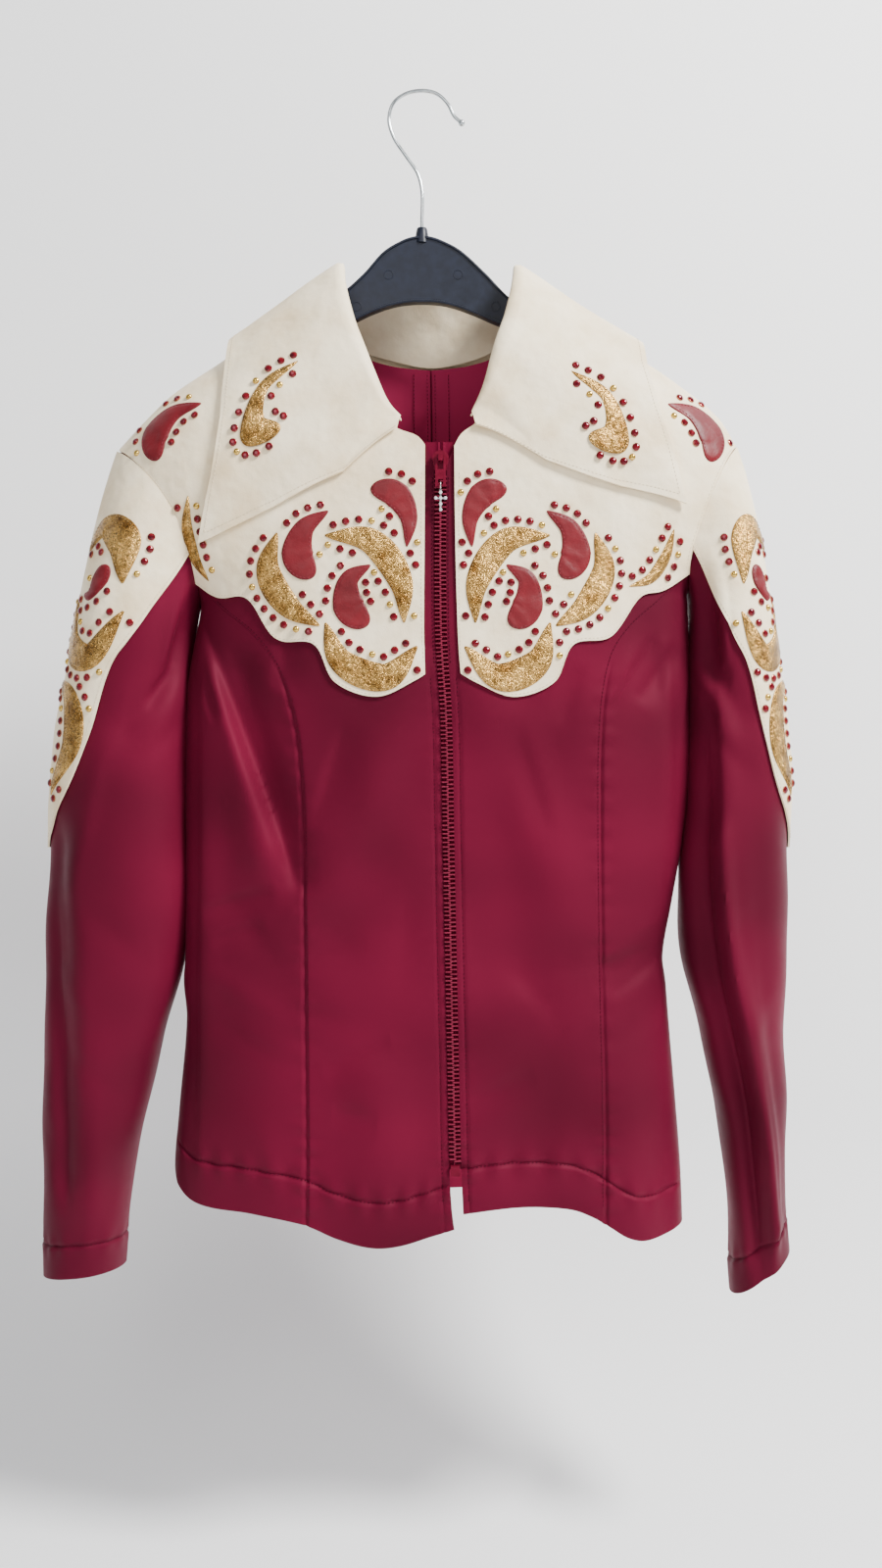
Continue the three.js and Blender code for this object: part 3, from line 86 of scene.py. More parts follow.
necklines = {
    "left": [(-62, -137), (-60, -151), (-54, -173), (-45, -196), (-31, -226), (-14, -241.5),
             (1, -248), (8, -267)],
    "right": [(71, -139), (69, -151), (63, -171), (54, -195), (45, -219), (32, -238), (22, -246),
              (16, -267)],
}
backNecklines = {
    "left": [(-62, -137), (-60, -149), (-54, -159), (-42, -170), (-20, -177), (5, -180)],
    "right": [(71, -139), (69, -151), (62, -161), (50, -170), (28, -177), (5, -180)],
}
frontHems = {
    "left": [(-171, -738), (-167, -750), (-152, -760), (-113, -764), (-78, -770), (-57, -778),
             (-33, -783), (-14, -782), (7, -776), (21, -772)],
    "right": [(178, -777), (165, -780), (148, -783), (136, -780), (125, -773), (113, -766),
              (100, -761), (78, -759), (56, -759), (27, -762)],
}
backHems = {"left": [(-171, -738), (-120, -755), (-50, -766), (12, -768)],
            "right": [(178, -777), (140, -776), (70, -768), (12, -768)]}
backYoke = {"atArmhole": 0.5, "line": [(0, -318), (0.45, -322), (0.72, -338), (1, -330)]}
backMiddle = {"topX": 5, "topZ": -180, "bottomX": 12, "bottomZ": -768}

# Folds and creases, each x0, z0, x1, z1, width, height: ridges are positive, troughs negative.
folds = {
    "front": [(-146, -402, -108, -520, 15, 5), (-122, -402, -86, -540, 12, -5),
              (176, -575, 128, -604, 11, -5), (-32, -680, -32, -800, 26, 5),
              (148, -680, 150, -800, 24, 5), (76, -690, 78, -800, 26, -4),
              (52, -470, 64, -590, 24, -3)],
    "back": [(-70, -560, -58, -800, 24, 4), (86, -600, 92, -800, 26, 5),
             (12, -660, 12, -800, 22, -4), (-130, -380, -70, -470, 14, -3),
             (150, -380, 95, -470, 14, -3)],
}
creases = {
    "front": [(-141, -386, -88, -536, 4.5, -2.6), (-146, -392, -101, -520, 7, 2.0),
              (-150, -372, -143, -430, 5, -1.6), (-104, -420, -84, -462, 8, -1.4),
              (-78, -596, -52, -588, 5, -1.2), (-82, -628, -40, -640, 7, -1.0),
              (-60, -560, -20, -575, 9, -0.9), (-128, -560, -96, -600, 9, -1.1),
              (-150, -600, -92, -636, 8, 1.2), (-138, -640, -86, -668, 7, -0.9),
              (166, -574, 112, -590, 4, -1.8), (168, -590, 118, -626, 5, -1.5),
              (160, -566, 96, -580, 8, 1.2), (112, -596, 62, -610, 8, -0.8),
              (172, -622, 132, -650, 7, -0.9), (46, -430, 60, -500, 12, -1.1),
              (-40, -432, -52, -520, 12, -1.0), (96, -402, 84, -470, 11, -1.0),
              (140, -380, 132, -450, 9, 1.2), (152, -372, 160, -430, 6, -1.4),
              (30, -560, 46, -640, 10, -0.8), (-8, -540, -14, -620, 9, -0.8),
              (-110, -700, -96, -742, 10, 1.2), (92, -700, 100, -742, 10, 1.1)],
    "back": [(-146, -392, -92, -500, 6, -2.0), (-138, -420, -104, -520, 8, 1.6),
             (160, -392, 112, -500, 6, -2.2), (148, -430, 120, -520, 9, 1.5),
             (-150, -590, -88, -616, 6, -1.7), (-140, -560, -60, -572, 8, -1.2),
             (156, -586, 100, -606, 6, -1.6), (140, -556, 70, -566, 9, -1.1),
             (-40, -430, -52, -520, 12, -1.1), (60, -440, 70, -540, 12, -1.2),
             (-20, -600, -34, -690, 11, 1.2), (44, -620, 52, -700, 11, 1.1),
             (-110, -690, -100, -740, 10, -1.2), (120, -690, 128, -744, 10, -1.3)],
}

# Pressed folds, each x0, z0, x1, z1, width on its left, width on its right, height.
ledges = {
    "front": [(-150, -362, -80, -554, 4.6, 22, -6.6), (-148, -392, -150, -735, 2.6, 12, 2.4),
              (-88, -377, -97, -415, 5, 12, -2.6), (-50, -440, -72, -506, 5, 14, -2.6),
              (2, -388, -78, -580, 24, 20, 5.0), (-146, -414, -138, -438, 3, 5, -2.4),
              (-150, -566, -100, -548, 9, 4, -2.4), (-142, -584, -106, -572, 7, 4, -1.6),
              (-66, -668, -22, -648, 10, 5, -2.0), (-60, -696, -30, -700, 7, 5, -1.6),
              (-84, -560, -40, -590, 10, 14, -2.0), (30, -690, 74, -672, 10, 6, -1.8),
              (164, -380, 170, -580, 12, 4.0, 2.6), (172, -384, 144, -424, 5, 10, -3.2),
              (156, -380, 120, -440, 4, 14, -2.6), (104, -400, 92, -440, 9, 7, -1.6),
              (58, -436, 84, -516, 12, 7, -2.4), (26, -390, 100, -580, 20, 22, 4.0),
              (164, -572, 116, -590, 4, 9, 3.0), (60, -600, 96, -640, 8, 14, -2.0)],
    "back": [(-140, -384, -92, -520, 16, 4, 3.6), (162, -384, 112, -520, 4, 16, 3.6),
             (-60, -430, -84, -540, 8, 12, -1.6), (70, -430, 96, -540, 12, 8, -1.6)],
}


# A smooth line through points: cubic pieces, each point's slope being its neighbours' chord.
def smoothLine(xs, ys):
    order = np.argsort(xs)
    x, y = np.asarray(xs, float)[order], np.asarray(ys, float)[order]
    i = np.arange(len(x))
    low, high = np.maximum(i - 1, 0), np.minimum(i + 1, len(x) - 1)
    slope = (y[high] - y[low]) / (x[high] - x[low])

    def read(at):
        q = np.clip(at, x[0], x[-1])
        k = np.clip(np.searchsorted(x, q) - 1, 0, len(x) - 2)
        span = x[k + 1] - x[k]
        t = (q - x[k]) / span
        s = 1 - t
        return (s * s * (1 + 2 * t) * y[k] + t * t * (1 + 2 * s) * y[k + 1]
                + span * t * s * (s * slope[k] - t * slope[k + 1]))

    return read


sideX = {name: smoothLine(body["z"], body[name]) for name in sides}
swell = {face: smoothLine(body["z"], body[face]) for face in ("front", "back")}
ridge = smoothLine(*zip(*ridgeTable))
zipX = smoothLine(*zip(*zipTable))
hemLine = {name: smoothLine(*zip(*frontHems[name])) for name in sides}
backHemLine = {name: smoothLine(*zip(*backHems[name])) for name in sides}
princessX = {name: smoothLine([z for _, z in princessSeams[name]], [x for x, _ in princessSeams[name]])
             for name in sides}


# The centre-back seam: a straight line from its top to the hem.
def backSeamX(z):
    m = backMiddle
    return m["topX"] + (m["bottomX"] - m["topX"]) * (z - m["topZ"]) / (m["bottomZ"] - m["topZ"])


# Sum of soft ridges: height times e to the minus (distance from the line over the width) squared,
# and with tapered ends a crease also fades as a sine along its line.
def ridgeSum(table, x, z, tapered=False):
    total = np.zeros(np.broadcast(x, z).shape)
    for x0, z0, x1, z1, width, height in table:
        dx, dz = x1 - x0, z1 - z0
        along = ((x - x0) * dx + (z - z0) * dz) / (dx * dx + dz * dz)
        t = np.clip(along, 0, 1)
        away = np.hypot(x - x0 - dx * t, z - z0 - dz * t) / width
        fade = np.sin(np.pi * (0.08 + 0.84 * t)) if tapered else 1
        total = total + height * fade * np.exp(-away * away)
    return total


# Sum of pressed folds: height times e to the minus (signed distance over that side's width) squared.
def ledgeSum(table, x, z):
    total = np.zeros(np.broadcast(x, z).shape)
    for x0, z0, x1, z1, leftWidth, rightWidth, height in table:
        dx, dz = x1 - x0, z1 - z0
        along = ((x - x0) * dx + (z - z0) * dz) / (dx * dx + dz * dz)
        t = np.clip(along, 0, 1)
        leftward = (x - x0) * dz - (z - z0) * dx > 0
        away = np.hypot(x - x0 - dx * t, z - z0 - dz * t) / np.where(leftward, leftWidth, rightWidth)
        total = total + height * np.sin(np.pi * t) ** 0.7 * np.exp(-away * away)
    return total


# Slow unevenness of cloth: a sum of three slanting sine waves, 50 to 110 mm long.
def slowWaves(x, z, phase):
    return (0.55 * np.sin(x / 13 + z / 31 + phase) + 0.45 * np.sin(x / 21 - z / 9.5 + 2 * phase)
            + 0.3 * np.sin(x / 8 + z / 17 + 3 * phase))


# Puckers beside sewing: sine waves along the seam whose phase wanders, fading with distance.
def puckers(along, away, pitch, reach, height):
    wander = along / pitch * 2 * np.pi + 1.4 * np.sin(along / 23) + 0.9 * np.sin(along / 41)
    return height * np.sin(wander) * np.exp(-(away / reach) ** 2)


# A narrow groove: its depth times e to the minus (distance over its width) squared.
def groove(away, depth, width):
    return depth * np.exp(-(away / width) ** 2)


# Puckers are pitch, reach and height, grooves depth and width, and the hem's step its rise and run.
sewing = {
    "zipPucker": (13, 9, 0.5), "princessPucker": (15, 8, 0.5), "backPucker": (16, 10, 0.5),
    "hemPucker": (17, 9, 0.75), "seamGroove": (1.3, 1.4), "edgeGroove": (0.7, 1.0),
    "backGroove": (0.9, 1.5), "stitchGroove": (1.2, 1.3), "hemStep": (1.1, 2.5),
    "hemDepth": 29, "edgeStitch": 4.6, "startsAt": -395, "startsOver": 30,
}


# The turned-up hem: its step, the groove of its stitching and the puckers beside that.
def hemSewing(x, aboveHem):
    fromStitch = aboveHem - sewing["hemDepth"]
    rise, run = sewing["hemStep"]
    return (puckers(x, np.abs(fromStitch), *sewing["hemPucker"])
            - groove(fromStitch, *sewing["stitchGroove"]) + rise * np.clip(-fromStitch / run, 0, 1))


# Fine form of the front: the hem, and below the yoke the seams' grooves and puckers.
def frontSewing(x, z):
    leftOfZip = x < zipX(z)
    seamX = np.where(leftOfZip, princessX["left"](z), princessX["right"](z))
    hemZ = np.where(leftOfZip, hemLine["left"](x), hemLine["right"](x))
    fromZip, fromSeam = np.abs(x - zipX(z)) - shape["zipHalf"], np.abs(x - seamX)
    seams = (puckers(z, fromZip, *sewing["zipPucker"]) + puckers(z, fromSeam, *sewing["princessPucker"])
             - groove(fromSeam, *sewing["seamGroove"])
             - groove(fromZip - sewing["edgeStitch"], *sewing["edgeGroove"]))
    return hemSewing(x, z - hemZ) + seams * np.clip((sewing["startsAt"] - z) / sewing["startsOver"], 0, 1)


# Fine form of the back: the hem, and the pressed centre seam with its puckers.
def backSewing(x, z):
    hemZ = np.where(x < backMiddle["bottomX"], backHemLine["left"](x), backHemLine["right"](x))
    fromMiddle = np.abs(x - backSeamX(z))
    return (hemSewing(x, z - hemZ) + puckers(z, fromMiddle, *sewing["backPucker"])
            - groove(fromMiddle, *sewing["backGroove"]))


# Outer surface of the garment: y is the swell and folds, times a superellipse across the width,
# times a quarter circle over the shoulder ridge.
def bodyPoint(x, z, face):
    x, z = np.broadcast_arrays(np.asarray(x, float), np.asarray(z, float))
    left, right = sideX["left"](z), sideX["right"](z)
    across = np.clip(np.abs(x - (left + right) / 2) / ((right - left) / 2), 0, 1)
    power = shape["squareness"]
    sideways = (1 - across ** power) ** (1 / power)
    below = np.clip((ridge(x) - z) / shape["shoulderRound"], 0, 1)
    over = np.sqrt(1 - (1 - below) ** 2)
    soft = np.clip((shape["wavesBelow"] - z) / 60, 0, 1)
    fine = ridgeSum(creases[face], x, z, True) + ledgeSum(ledges[face], x, z)
    if face == "front":
        fine = fine + shape["waveHeight"] * slowWaves(x, z, 0.7) * soft + frontSewing(x, z)
    else:
        fine = fine + shape["waveHeight"] * slowWaves(x, z, 2.1) * soft + backSewing(x, z)
    depth = ((swell[face](z) + ridgeSum(folds[face], x, z)) * sideways * over
             + fine * np.clip(sideways * 2.2, 0, 1) * over + shape["sideGap"] / 2)
    return np.stack([x, -depth if face == "front" else depth, z], -1)


# Outward unit normal of that surface, from points 1 mm either way.
def bodyNormal(x, z, face):
    dx = bodyPoint(x + 1.0, z, face) - bodyPoint(x - 1.0, z, face)
    dz = bodyPoint(x, z + 1.0, face) - bodyPoint(x, z - 1.0, face)
    n = np.cross(dx, dz)
    n /= np.linalg.norm(n, axis=-1, keepdims=True)
    return n * (np.sign(n[..., 1:2]) * (-1 if face == "front" else 1))


# A point at the given height over the surface, along its normal.
def onBody(x, z, face, out):
    return bodyPoint(x, z, face) + bodyNormal(x, z, face) * np.asarray(out, float)[..., None]


# A smooth curve through points, read by the share of its length: centripetal Catmull-Rom pieces.
def curveThrough(points, start=0.0, end=1.0):
    p = np.asarray(points, float)
    p = np.vstack([2 * p[0] - p[1], p, 2 * p[-1] - p[-2]])
    a, b, c, d = p[:-3], p[1:-2], p[2:-1], p[3:]
    ab, bc, cd = (np.sqrt(np.linalg.norm(q - r, axis=1))[:, None] for q, r in ((b, a), (c, b), (d, c)))
    slopeB = ((b - a) / ab - (c - a) / (ab + bc) + (c - b) / bc) * bc
    slopeC = ((c - b) / bc - (d - b) / (bc + cd) + (d - c) / cd) * bc
    t = np.linspace(0, 1, 24, endpoint=False)[None, :, None]
    s = 1 - t
    line = (s * s * (1 + 2 * t) * b[:, None] + t * t * (1 + 2 * s) * c[:, None]
            + t * s * s * slopeB[:, None] - t * t * s * slopeC[:, None]).reshape(-1, p.shape[1])
    line = np.vstack([line, p[-2]])
    length = np.concatenate([[0], np.cumsum(np.linalg.norm(np.diff(line, axis=0), axis=1))])

    def read(share):
        at = np.clip(start + (end - start) * np.asarray(share, float), 0, 1) * length[-1]
        return np.stack([np.interp(at, length, line[:, k]) for k in range(line.shape[1])], -1)

    return read


# Two curves end to end, the first taking the given share of the rows.
def oneAfter(first, second, share):
    def read(t):
        early, late = np.clip(t / share, 0, 1), np.clip((t - share) / (1 - share), 0, 1)
        return np.where((t < share)[:, None], first(early), second(late))

    return read


# A curve moved by a fixed step.
def moved(curve, step):
    def read(t):
        return curve(t) + step

    return read


# A line from one height to another, its x given by a function of the height.
def downLine(top, bottom, xOf):
    def read(t):
        z = top + (bottom - top) * t
        return np.stack([xOf(z), z], -1)

    return read


# A line from one x to another, its height given by a function of x.
def acrossLine(start, end, zOf):
    def read(t):
        x = start + (end - start) * t
        return np.stack([x, zOf(x)], -1)

    return read


# Points between four edges: the sum of the two straight blends less the blend of the corners.
# The side edges ease onto the corners.
def patch(top, bottom, left, right, us, vs):
    t, b, l, r = top(us), bottom(us), left(vs), right(vs)
    early, late = ((1 - vs) ** 3)[:, None], (vs ** 3)[:, None]
    l = l + (t[0] - l[0]) * early + (b[0] - l[-1]) * late
    r = r + (t[-1] - r[0]) * early + (b[-1] - r[-1]) * late
    u, v = us[None, :, None], vs[:, None, None]
    return ((1 - u) * l[:, None] + u * r[:, None] + (1 - v) * t[None] + v * b[None]
            - (1 - u) * (1 - v) * t[0] - u * (1 - v) * t[-1] - (1 - u) * v * b[0] - u * v * b[-1])


# Rows from 0 to 1: equal shares raised to a power, closer at the start where that is over 1.
def ramp(count, power=1.0):
    return np.linspace(0, 1, count + 1) ** power


# Rows in stretches, each (share where it ends, count), so that they lie closer where the form is fine.
def stretches(*parts):
    values, start = [np.array([0.0])], 0.0
    for end, count in parts:
        values.append(np.linspace(start, end, count + 1)[1:])
        start = end
    return np.concatenate(values)


# Unit normals of a grid of points: the cross product of its two differences, turned to point the
# way that outwardFrom gives.
def gridNormals(grid, outwardFrom, closed=False):
    if closed:
        du = np.roll(grid, -1, 1) - np.roll(grid, 1, 1)
    else:
        du = np.gradient(grid, axis=1)
    n = np.cross(du, np.gradient(grid, axis=0))
    n /= np.maximum(np.linalg.norm(n, axis=-1, keepdims=True), 1e-9)
    return n if (n * outwardFrom).sum() > 0 else -n


# Quads of a grid of rows by columns.
def gridQuads(rows, cols, closed=False):
    index = np.arange(rows * cols).reshape(rows, cols)
    if closed:
        index = np.hstack([index, index[:, :1]])
    return np.stack([index[:-1, :-1], index[:-1, 1:], index[1:, 1:], index[1:, :-1]], -1).reshape(-1, 4)


# Quads between a line of points and the same line on the other layer.
def rimQuads(line, offset):
    a, b = line[:-1], line[1:]
    return np.stack([a, a + offset, b + offset, b], -1)


# Quads of two layers of a grid, the second facing the other way, with rims round the open edges, and
# each quad's kind: 0 outside and on the rims, 1 inside.
def twoLayers(rows, cols, closed=False):
    count = rows * cols
    top = gridQuads(rows, cols, closed)
    index = np.arange(count).reshape(rows, cols)
    if closed:
        edges = [np.append(index[0], index[0][0]), np.append(index[-1], index[-1][0])[::-1]]
    else:
        edges = [index[0], index[-1][::-1], index[::-1, 0], index[:, -1]]
    rims = np.vstack([rimQuads(edge, count) for edge in edges])
    kind = np.repeat([0, 1, 0], [len(top), len(top), len(rims)])
    return np.vstack([top, top[:, ::-1] + count, rims]), kind


# A wall: the grid moved out and in along its normals, with rims round its open edges. Next to the
# middle plane each layer stays on its own side of it.
def wallMesh(grid, normals, out, inner, closed=False):
    rows, cols = grid.shape[:2]
    outer = grid + normals * np.broadcast_to(out, (rows, cols))[..., None]
    inside = grid + normals * np.broadcast_to(inner, (rows, cols))[..., None]
    nearMiddle, side = np.abs(grid[..., 1]) < 1.0, np.sign(grid[..., 1])
    for layer in (outer, inside):
        kept = side * np.maximum(0.1, layer[..., 1] * side)
        layer[..., 1] = np.where(nearMiddle, kept, layer[..., 1])
    return np.vstack([outer.reshape(-1, 3), inside.reshape(-1, 3)]), *twoLayers(rows, cols, closed)


# Six times the volume that quads enclose, whose sign says whether they face outwards.
def quadVolume(points, quads):
    a, b, c, d = (points[quads[:, k]] for k in range(4))
    return (a * np.cross(b, c)).sum() + (a * np.cross(c, d)).sum()


# A Blender piece from points in millimetres and quads (a triangle repeats its last corner).
def makePiece(name, points, quads, materials, kind=None, rides="garment", flatShaded=False, sharp=45):
    quads = np.asarray(quads)
    if quadVolume(points, quads) < 0:
        quads = quads[:, ::-1]
        quads = np.where(quads[:, :1] == quads[:, 1:2], np.roll(quads, -1, 1), quads)
    triangle = quads[:, 3] == quads[:, 2]
    sizes = np.where(triangle, 3, 4)
    used = np.stack([np.ones(len(quads), bool)] * 3 + [~triangle], 1)
    loops = quads[used]
    mesh = bpy.data.meshes.new(name)
    mesh.vertices.add(len(points))
    mesh.vertices.foreach_set("co", (points * 0.001).astype(np.float32).ravel())
    mesh.loops.add(len(loops))
    mesh.loops.foreach_set("vertex_index", loops.astype(np.int32))
    mesh.polygons.add(len(quads))
    starts = np.cumsum(sizes) - sizes
    mesh.polygons.foreach_set("loop_start", starts.astype(np.int32))
    if kind is not None:
        mesh.polygons.foreach_set("material_index", np.asarray(kind, np.int32))
    mesh.polygons.foreach_set("use_smooth", np.full(len(quads), not flatShaded))
    mesh.update(calc_edges=True)
    mesh.validate()
    if not flatShaded:
        mesh.set_sharp_from_angle(angle=radians(sharp))
    piece = bpy.data.objects.new(name, mesh)
    bpy.context.collection.objects.link(piece)
    for material in materials if isinstance(materials, (list, tuple)) else [materials]:
        mesh.materials.append(material)
    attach(piece, rides)
    return piece


# Copies of one small form at many places: each corner is the place plus its own coordinates along
# the place's three axes.
def scatter(form, quads, places, axisX, axisY, axisZ, sizes=1.0):
    sizes = np.broadcast_to(np.asarray(sizes, float).reshape(-1, 1, 1), (len(places), 1, 1))
    corners = (form[None, :, 0:1] * axisX[:, None] + form[None, :, 1:2] * axisY[:, None]
               + form[None, :, 2:3] * axisZ[:, None]) * sizes + places[:, None]
    shift = (np.arange(len(places)) * len(form))[:, None, None]
    return corners.reshape(-1, 3), (quads[None] + shift).reshape(-1, 4)


# Several forms as one: their points and quads end to end.
def joinForms(forms):
    points, quads, start = [], [], 0
    for p, q in forms:
        points.append(p)
        quads.append(q + start)
        start += len(p)
    return np.vstack(points), np.vstack(quads)


# A turned form: rings of the given (radius, height) rows round the z axis, closed at both ends.
def turned(profile, around):
    angle = np.arange(around) * 2 * np.pi / around
    rows = [np.stack([r * np.cos(angle), r * np.sin(angle), np.full(around, h)], -1) for r, h in profile]
    points = np.vstack([*rows, [[0, 0, profile[0][1]]], [[0, 0, profile[-1][1]]]])
    quads = gridQuads(len(profile), around, True)
    k = np.arange(around)
    nextK = (k + 1) % around
    last = (len(profile) - 1) * around
    low = np.stack([nextK, k, np.full(around, len(points) - 2), np.full(around, len(points) - 2)], -1)
    high = np.stack([last + k, last + nextK, np.full(around, len(points) - 1),
                     np.full(around, len(points) - 1)], -1)
    return points, np.vstack([quads, low, high])


# A round bar along a 3-D line: circles of the given radius square to the line, closed at its ends.
def bar(line, radius, around=10, loop=False):
    line = np.asarray(line, float)
    ahead = np.roll(line, -1, 0) - np.roll(line, 1, 0) if loop else np.gradient(line, axis=0)
    ahead /= np.linalg.norm(ahead, axis=1, keepdims=True)
    side = np.cross(ahead, [0.0, 1.0, 0.02])
    side /= np.linalg.norm(side, axis=1, keepdims=True)
    up = np.cross(side, ahead)
    angle = np.arange(around) * 2 * np.pi / around
    radius = np.broadcast_to(radius, len(line))[:, None, None]
    rings = line[:, None] + radius * (np.cos(angle)[None, :, None] * side[:, None]
                                      + np.sin(angle)[None, :, None] * up[:, None])
    points, quads = rings.reshape(-1, 3), gridQuads(len(line), around, True)
    if loop:
        k, last = np.arange(around), (len(line) - 1) * around
        joint = np.stack([last + k, last + (k + 1) % around, (k + 1) % around, k], -1)
        return points, np.vstack([quads, joint])
    ends = []
    for centre, base, flip in ((line[0], 0, True), (line[-1], (len(line) - 1) * around, False)):
        k = np.arange(around)
        a, b = base + k, base + (k + 1) % around
        tip = np.full(around, len(points))
        points = np.vstack([points, centre])
        ends.append(np.stack([b, a, tip, tip] if flip else [a, b, tip, tip], -1))
    return points, np.vstack([quads, *ends])


# An sRGB hex colour as linear numbers.
def linear(hexColour):
    c = np.array([int(hexColour[i:i + 2], 16) / 255 for i in (0, 2, 4)])
    return (*np.where(c <= 0.04045, c / 12.92, ((c + 0.055) / 1.055) ** 2.4), 1.0)


# Adds a node, sets its fixed inputs and properties, and links what is given as a socket.
def addNode(tree, kind, inputs=None, **settings):
    node = tree.nodes.new(kind)
    for key, value in settings.items():
        setattr(node, key, value)
    for key, value in (inputs or {}).items():
        if isinstance(value, bpy.types.NodeSocket):
            tree.links.new(value, node.inputs[key])
        else:
            node.inputs[key].default_value = value
    return node


# A material with its shader's own sockets set; an underscore in a name stands for a space.
def newMaterial(name, **fixed):
    material = bpy.data.materials.new(name)
    material.use_nodes = True
    tree = material.node_tree
    shader = tree.nodes["Principled BSDF"]
    for key, value in fixed.items():
        shader.inputs[key.replace("_", " ")].default_value = value
    return material, tree, shader


# Object coordinates, each axis stretched by the given factor.
def coordinates(tree, stretch=(1, 1, 1)):
    place = addNode(tree, "ShaderNodeTexCoord").outputs["Object"]
    return addNode(tree, "ShaderNodeMapping", {"Vector": place, "Scale": stretch}).outputs[0]


# Noise whose clouds are about the given size.
def noise(tree, vector, sizeMm, detail=2.0, roughness=0.5):
    return addNode(tree, "ShaderNodeTexNoise", {"Vector": vector, "Scale": 1000 / sizeMm, "Detail": detail,
                                                "Roughness": roughness}).outputs["Fac"]


# Two hex colours mixed over a stretch of the factor.
def mixColours(tree, factor, dark, light, low=0.3, high=0.7):
    spread = addNode(tree, "ShaderNodeValToRGB", {"Fac": factor})
    spread.color_ramp.elements[0].position, spread.color_ramp.elements[1].position = low, high
    spread.color_ramp.elements[0].color, spread.color_ramp.elements[1].color = linear(dark), linear(light)
    return spread.outputs["Color"]


# A bump of the given depth, laid over another where one is given.
def bumpOf(tree, height, depthMm, strength=1.0, under=None):
    inputs = {"Height": height, "Distance": depthMm * 0.001, "Strength": strength}
    if under is not None:
        inputs["Normal"] = under
    return addNode(tree, "ShaderNodeBump", inputs).outputs["Normal"]


# A value from 0 to 1 spread between two numbers.
def scaled(tree, value, low, high):
    return addNode(tree, "ShaderNodeMapRange", {"Value": value, "To Min": low, "To Max": high}).outputs[0]


# Stretch satin: deep burgundy with a soft rosy sheen and a fine knit tooth. Its colour goes darker and
# lighter in slow clouds, which is painted sheen and shade.
def satinMaterial(name, dark, light, sheen, roughness):
    material, tree, shader = newMaterial(name, Sheen_Weight=sheen, Sheen_Roughness=0.35,
                                         Sheen_Tint=linear("c04a66"), Specular_IOR_Level=0.32,
                                         Specular_Tint=linear("c4607a"))
    place = coordinates(tree)
    # Painted sheen and shade: clouds about 85 mm across, drawn wider sideways, mix the dark and light
    # colours.
    shade = noise(tree, coordinates(tree, (0.7, 1, 1)), 85, 1.0, 0.4)
    tree.links.new(mixColours(tree, shade, dark, light), shader.inputs["Base Color"])
    knit = noise(tree, coordinates(tree, (0.16, 1, 1.3)), 0.8, 2.0)
    cloud = noise(tree, place, 9, 3.0)
    tree.links.new(scaled(tree, cloud, roughness - 0.05, roughness + 0.07), shader.inputs["Roughness"])
    soft = bumpOf(tree, cloud, 0.12, 0.4)
    tree.links.new(bumpOf(tree, knit, 0.05, 0.6, soft), shader.inputs["Normal"])
    return material


# Garment leather: a fine pebbled grain, faint shade clouds and a dull wax finish.
def leatherMaterial(name, dark, light, roughness, coat=0.0, grain=0.07):
    material, tree, shader = newMaterial(name, Coat_Weight=coat, Coat_Roughness=0.3,
                                         Specular_IOR_Level=0.35)
    place = coordinates(tree)
    tree.links.new(mixColours(tree, noise(tree, place, 38, 4.0, 0.6), dark, light, 0.28, 0.62),
                   shader.inputs["Base Color"])
    cells = addNode(tree, "ShaderNodeTexVoronoi", {"Vector": place, "Scale": 1000 / 1.1},
                    feature="SMOOTH_F1").outputs["Distance"]
    wrinkle = noise(tree, place, 7, 5.0, 0.62)
    tree.links.new(scaled(tree, wrinkle, roughness - 0.06, roughness + 0.1), shader.inputs["Roughness"])
    buckle = bumpOf(tree, noise(tree, place, 40, 3.0, 0.55), 4.5, 0.75)
    soft = bumpOf(tree, wrinkle, 0.5, 0.7, buckle)
    tree.links.new(bumpOf(tree, cells, grain, 0.6, soft), shader.inputs["Normal"])
    return material


# Foil leather: bright metal film, darker and lighter in clouds, with a net of fine crinkle lines that are
# bumped in and coloured dark, that dark being painted shade of the creases.
def foilMaterial(name, dark, light, paintedCreaseShade):
    material, tree, shader = newMaterial(name, Metallic=1.0)
    place = coordinates(tree)
    warp = addNode(tree, "ShaderNodeTexNoise",
                   {"Vector": place, "Scale": 260, "Detail": 3.0}).outputs["Color"]
    bent = addNode(tree, "ShaderNodeMix", {0: 0.012, 4: place, 5: warp}, data_type="VECTOR").outputs[1]
    cells = addNode(tree, "ShaderNodeTexVoronoi", {"Vector": bent, "Scale": 1000 / 3.4},
                    feature="DISTANCE_TO_EDGE").outputs["Distance"]
    lines = addNode(tree, "ShaderNodeMapRange", {"Value": cells, "From Max": 0.09}).outputs[0]
    base = mixColours(tree, noise(tree, place, 11, 3.0), dark, light, 0.3, 0.66)
    # The crinkle lines take the dark colour: painted shade of the creases.
    tint = addNode(tree, "ShaderNodeMix", {0: lines, 6: linear(paintedCreaseShade), 7: base}, data_type="RGBA")
    tree.links.new(tint.outputs[2], shader.inputs["Base Color"])
    pebble = noise(tree, place, 3.6, 5.0, 0.62)
    tree.links.new(scaled(tree, pebble, 0.14, 0.36), shader.inputs["Roughness"])
    soft = bumpOf(tree, pebble, 1.9, 0.9)
    tree.links.new(bumpOf(tree, lines, 0.12, 0.6, soft), shader.inputs["Normal"])
    return material


# Hard smooth material with a faint surface unevenness.
def hardMaterial(name, dark, light, roughness, sizeMm=6, depthMm=0.02, **fixed):
    material, tree, shader = newMaterial(name, **fixed)
    place = coordinates(tree)
    cloud = noise(tree, place, sizeMm, 3.0)
    tree.links.new(mixColours(tree, cloud, dark, light), shader.inputs["Base Color"])
    tree.links.new(scaled(tree, cloud, roughness * 0.85, roughness * 1.2), shader.inputs["Roughness"])
    tree.links.new(bumpOf(tree, cloud, depthMm, 0.6), shader.inputs["Normal"])
    return material
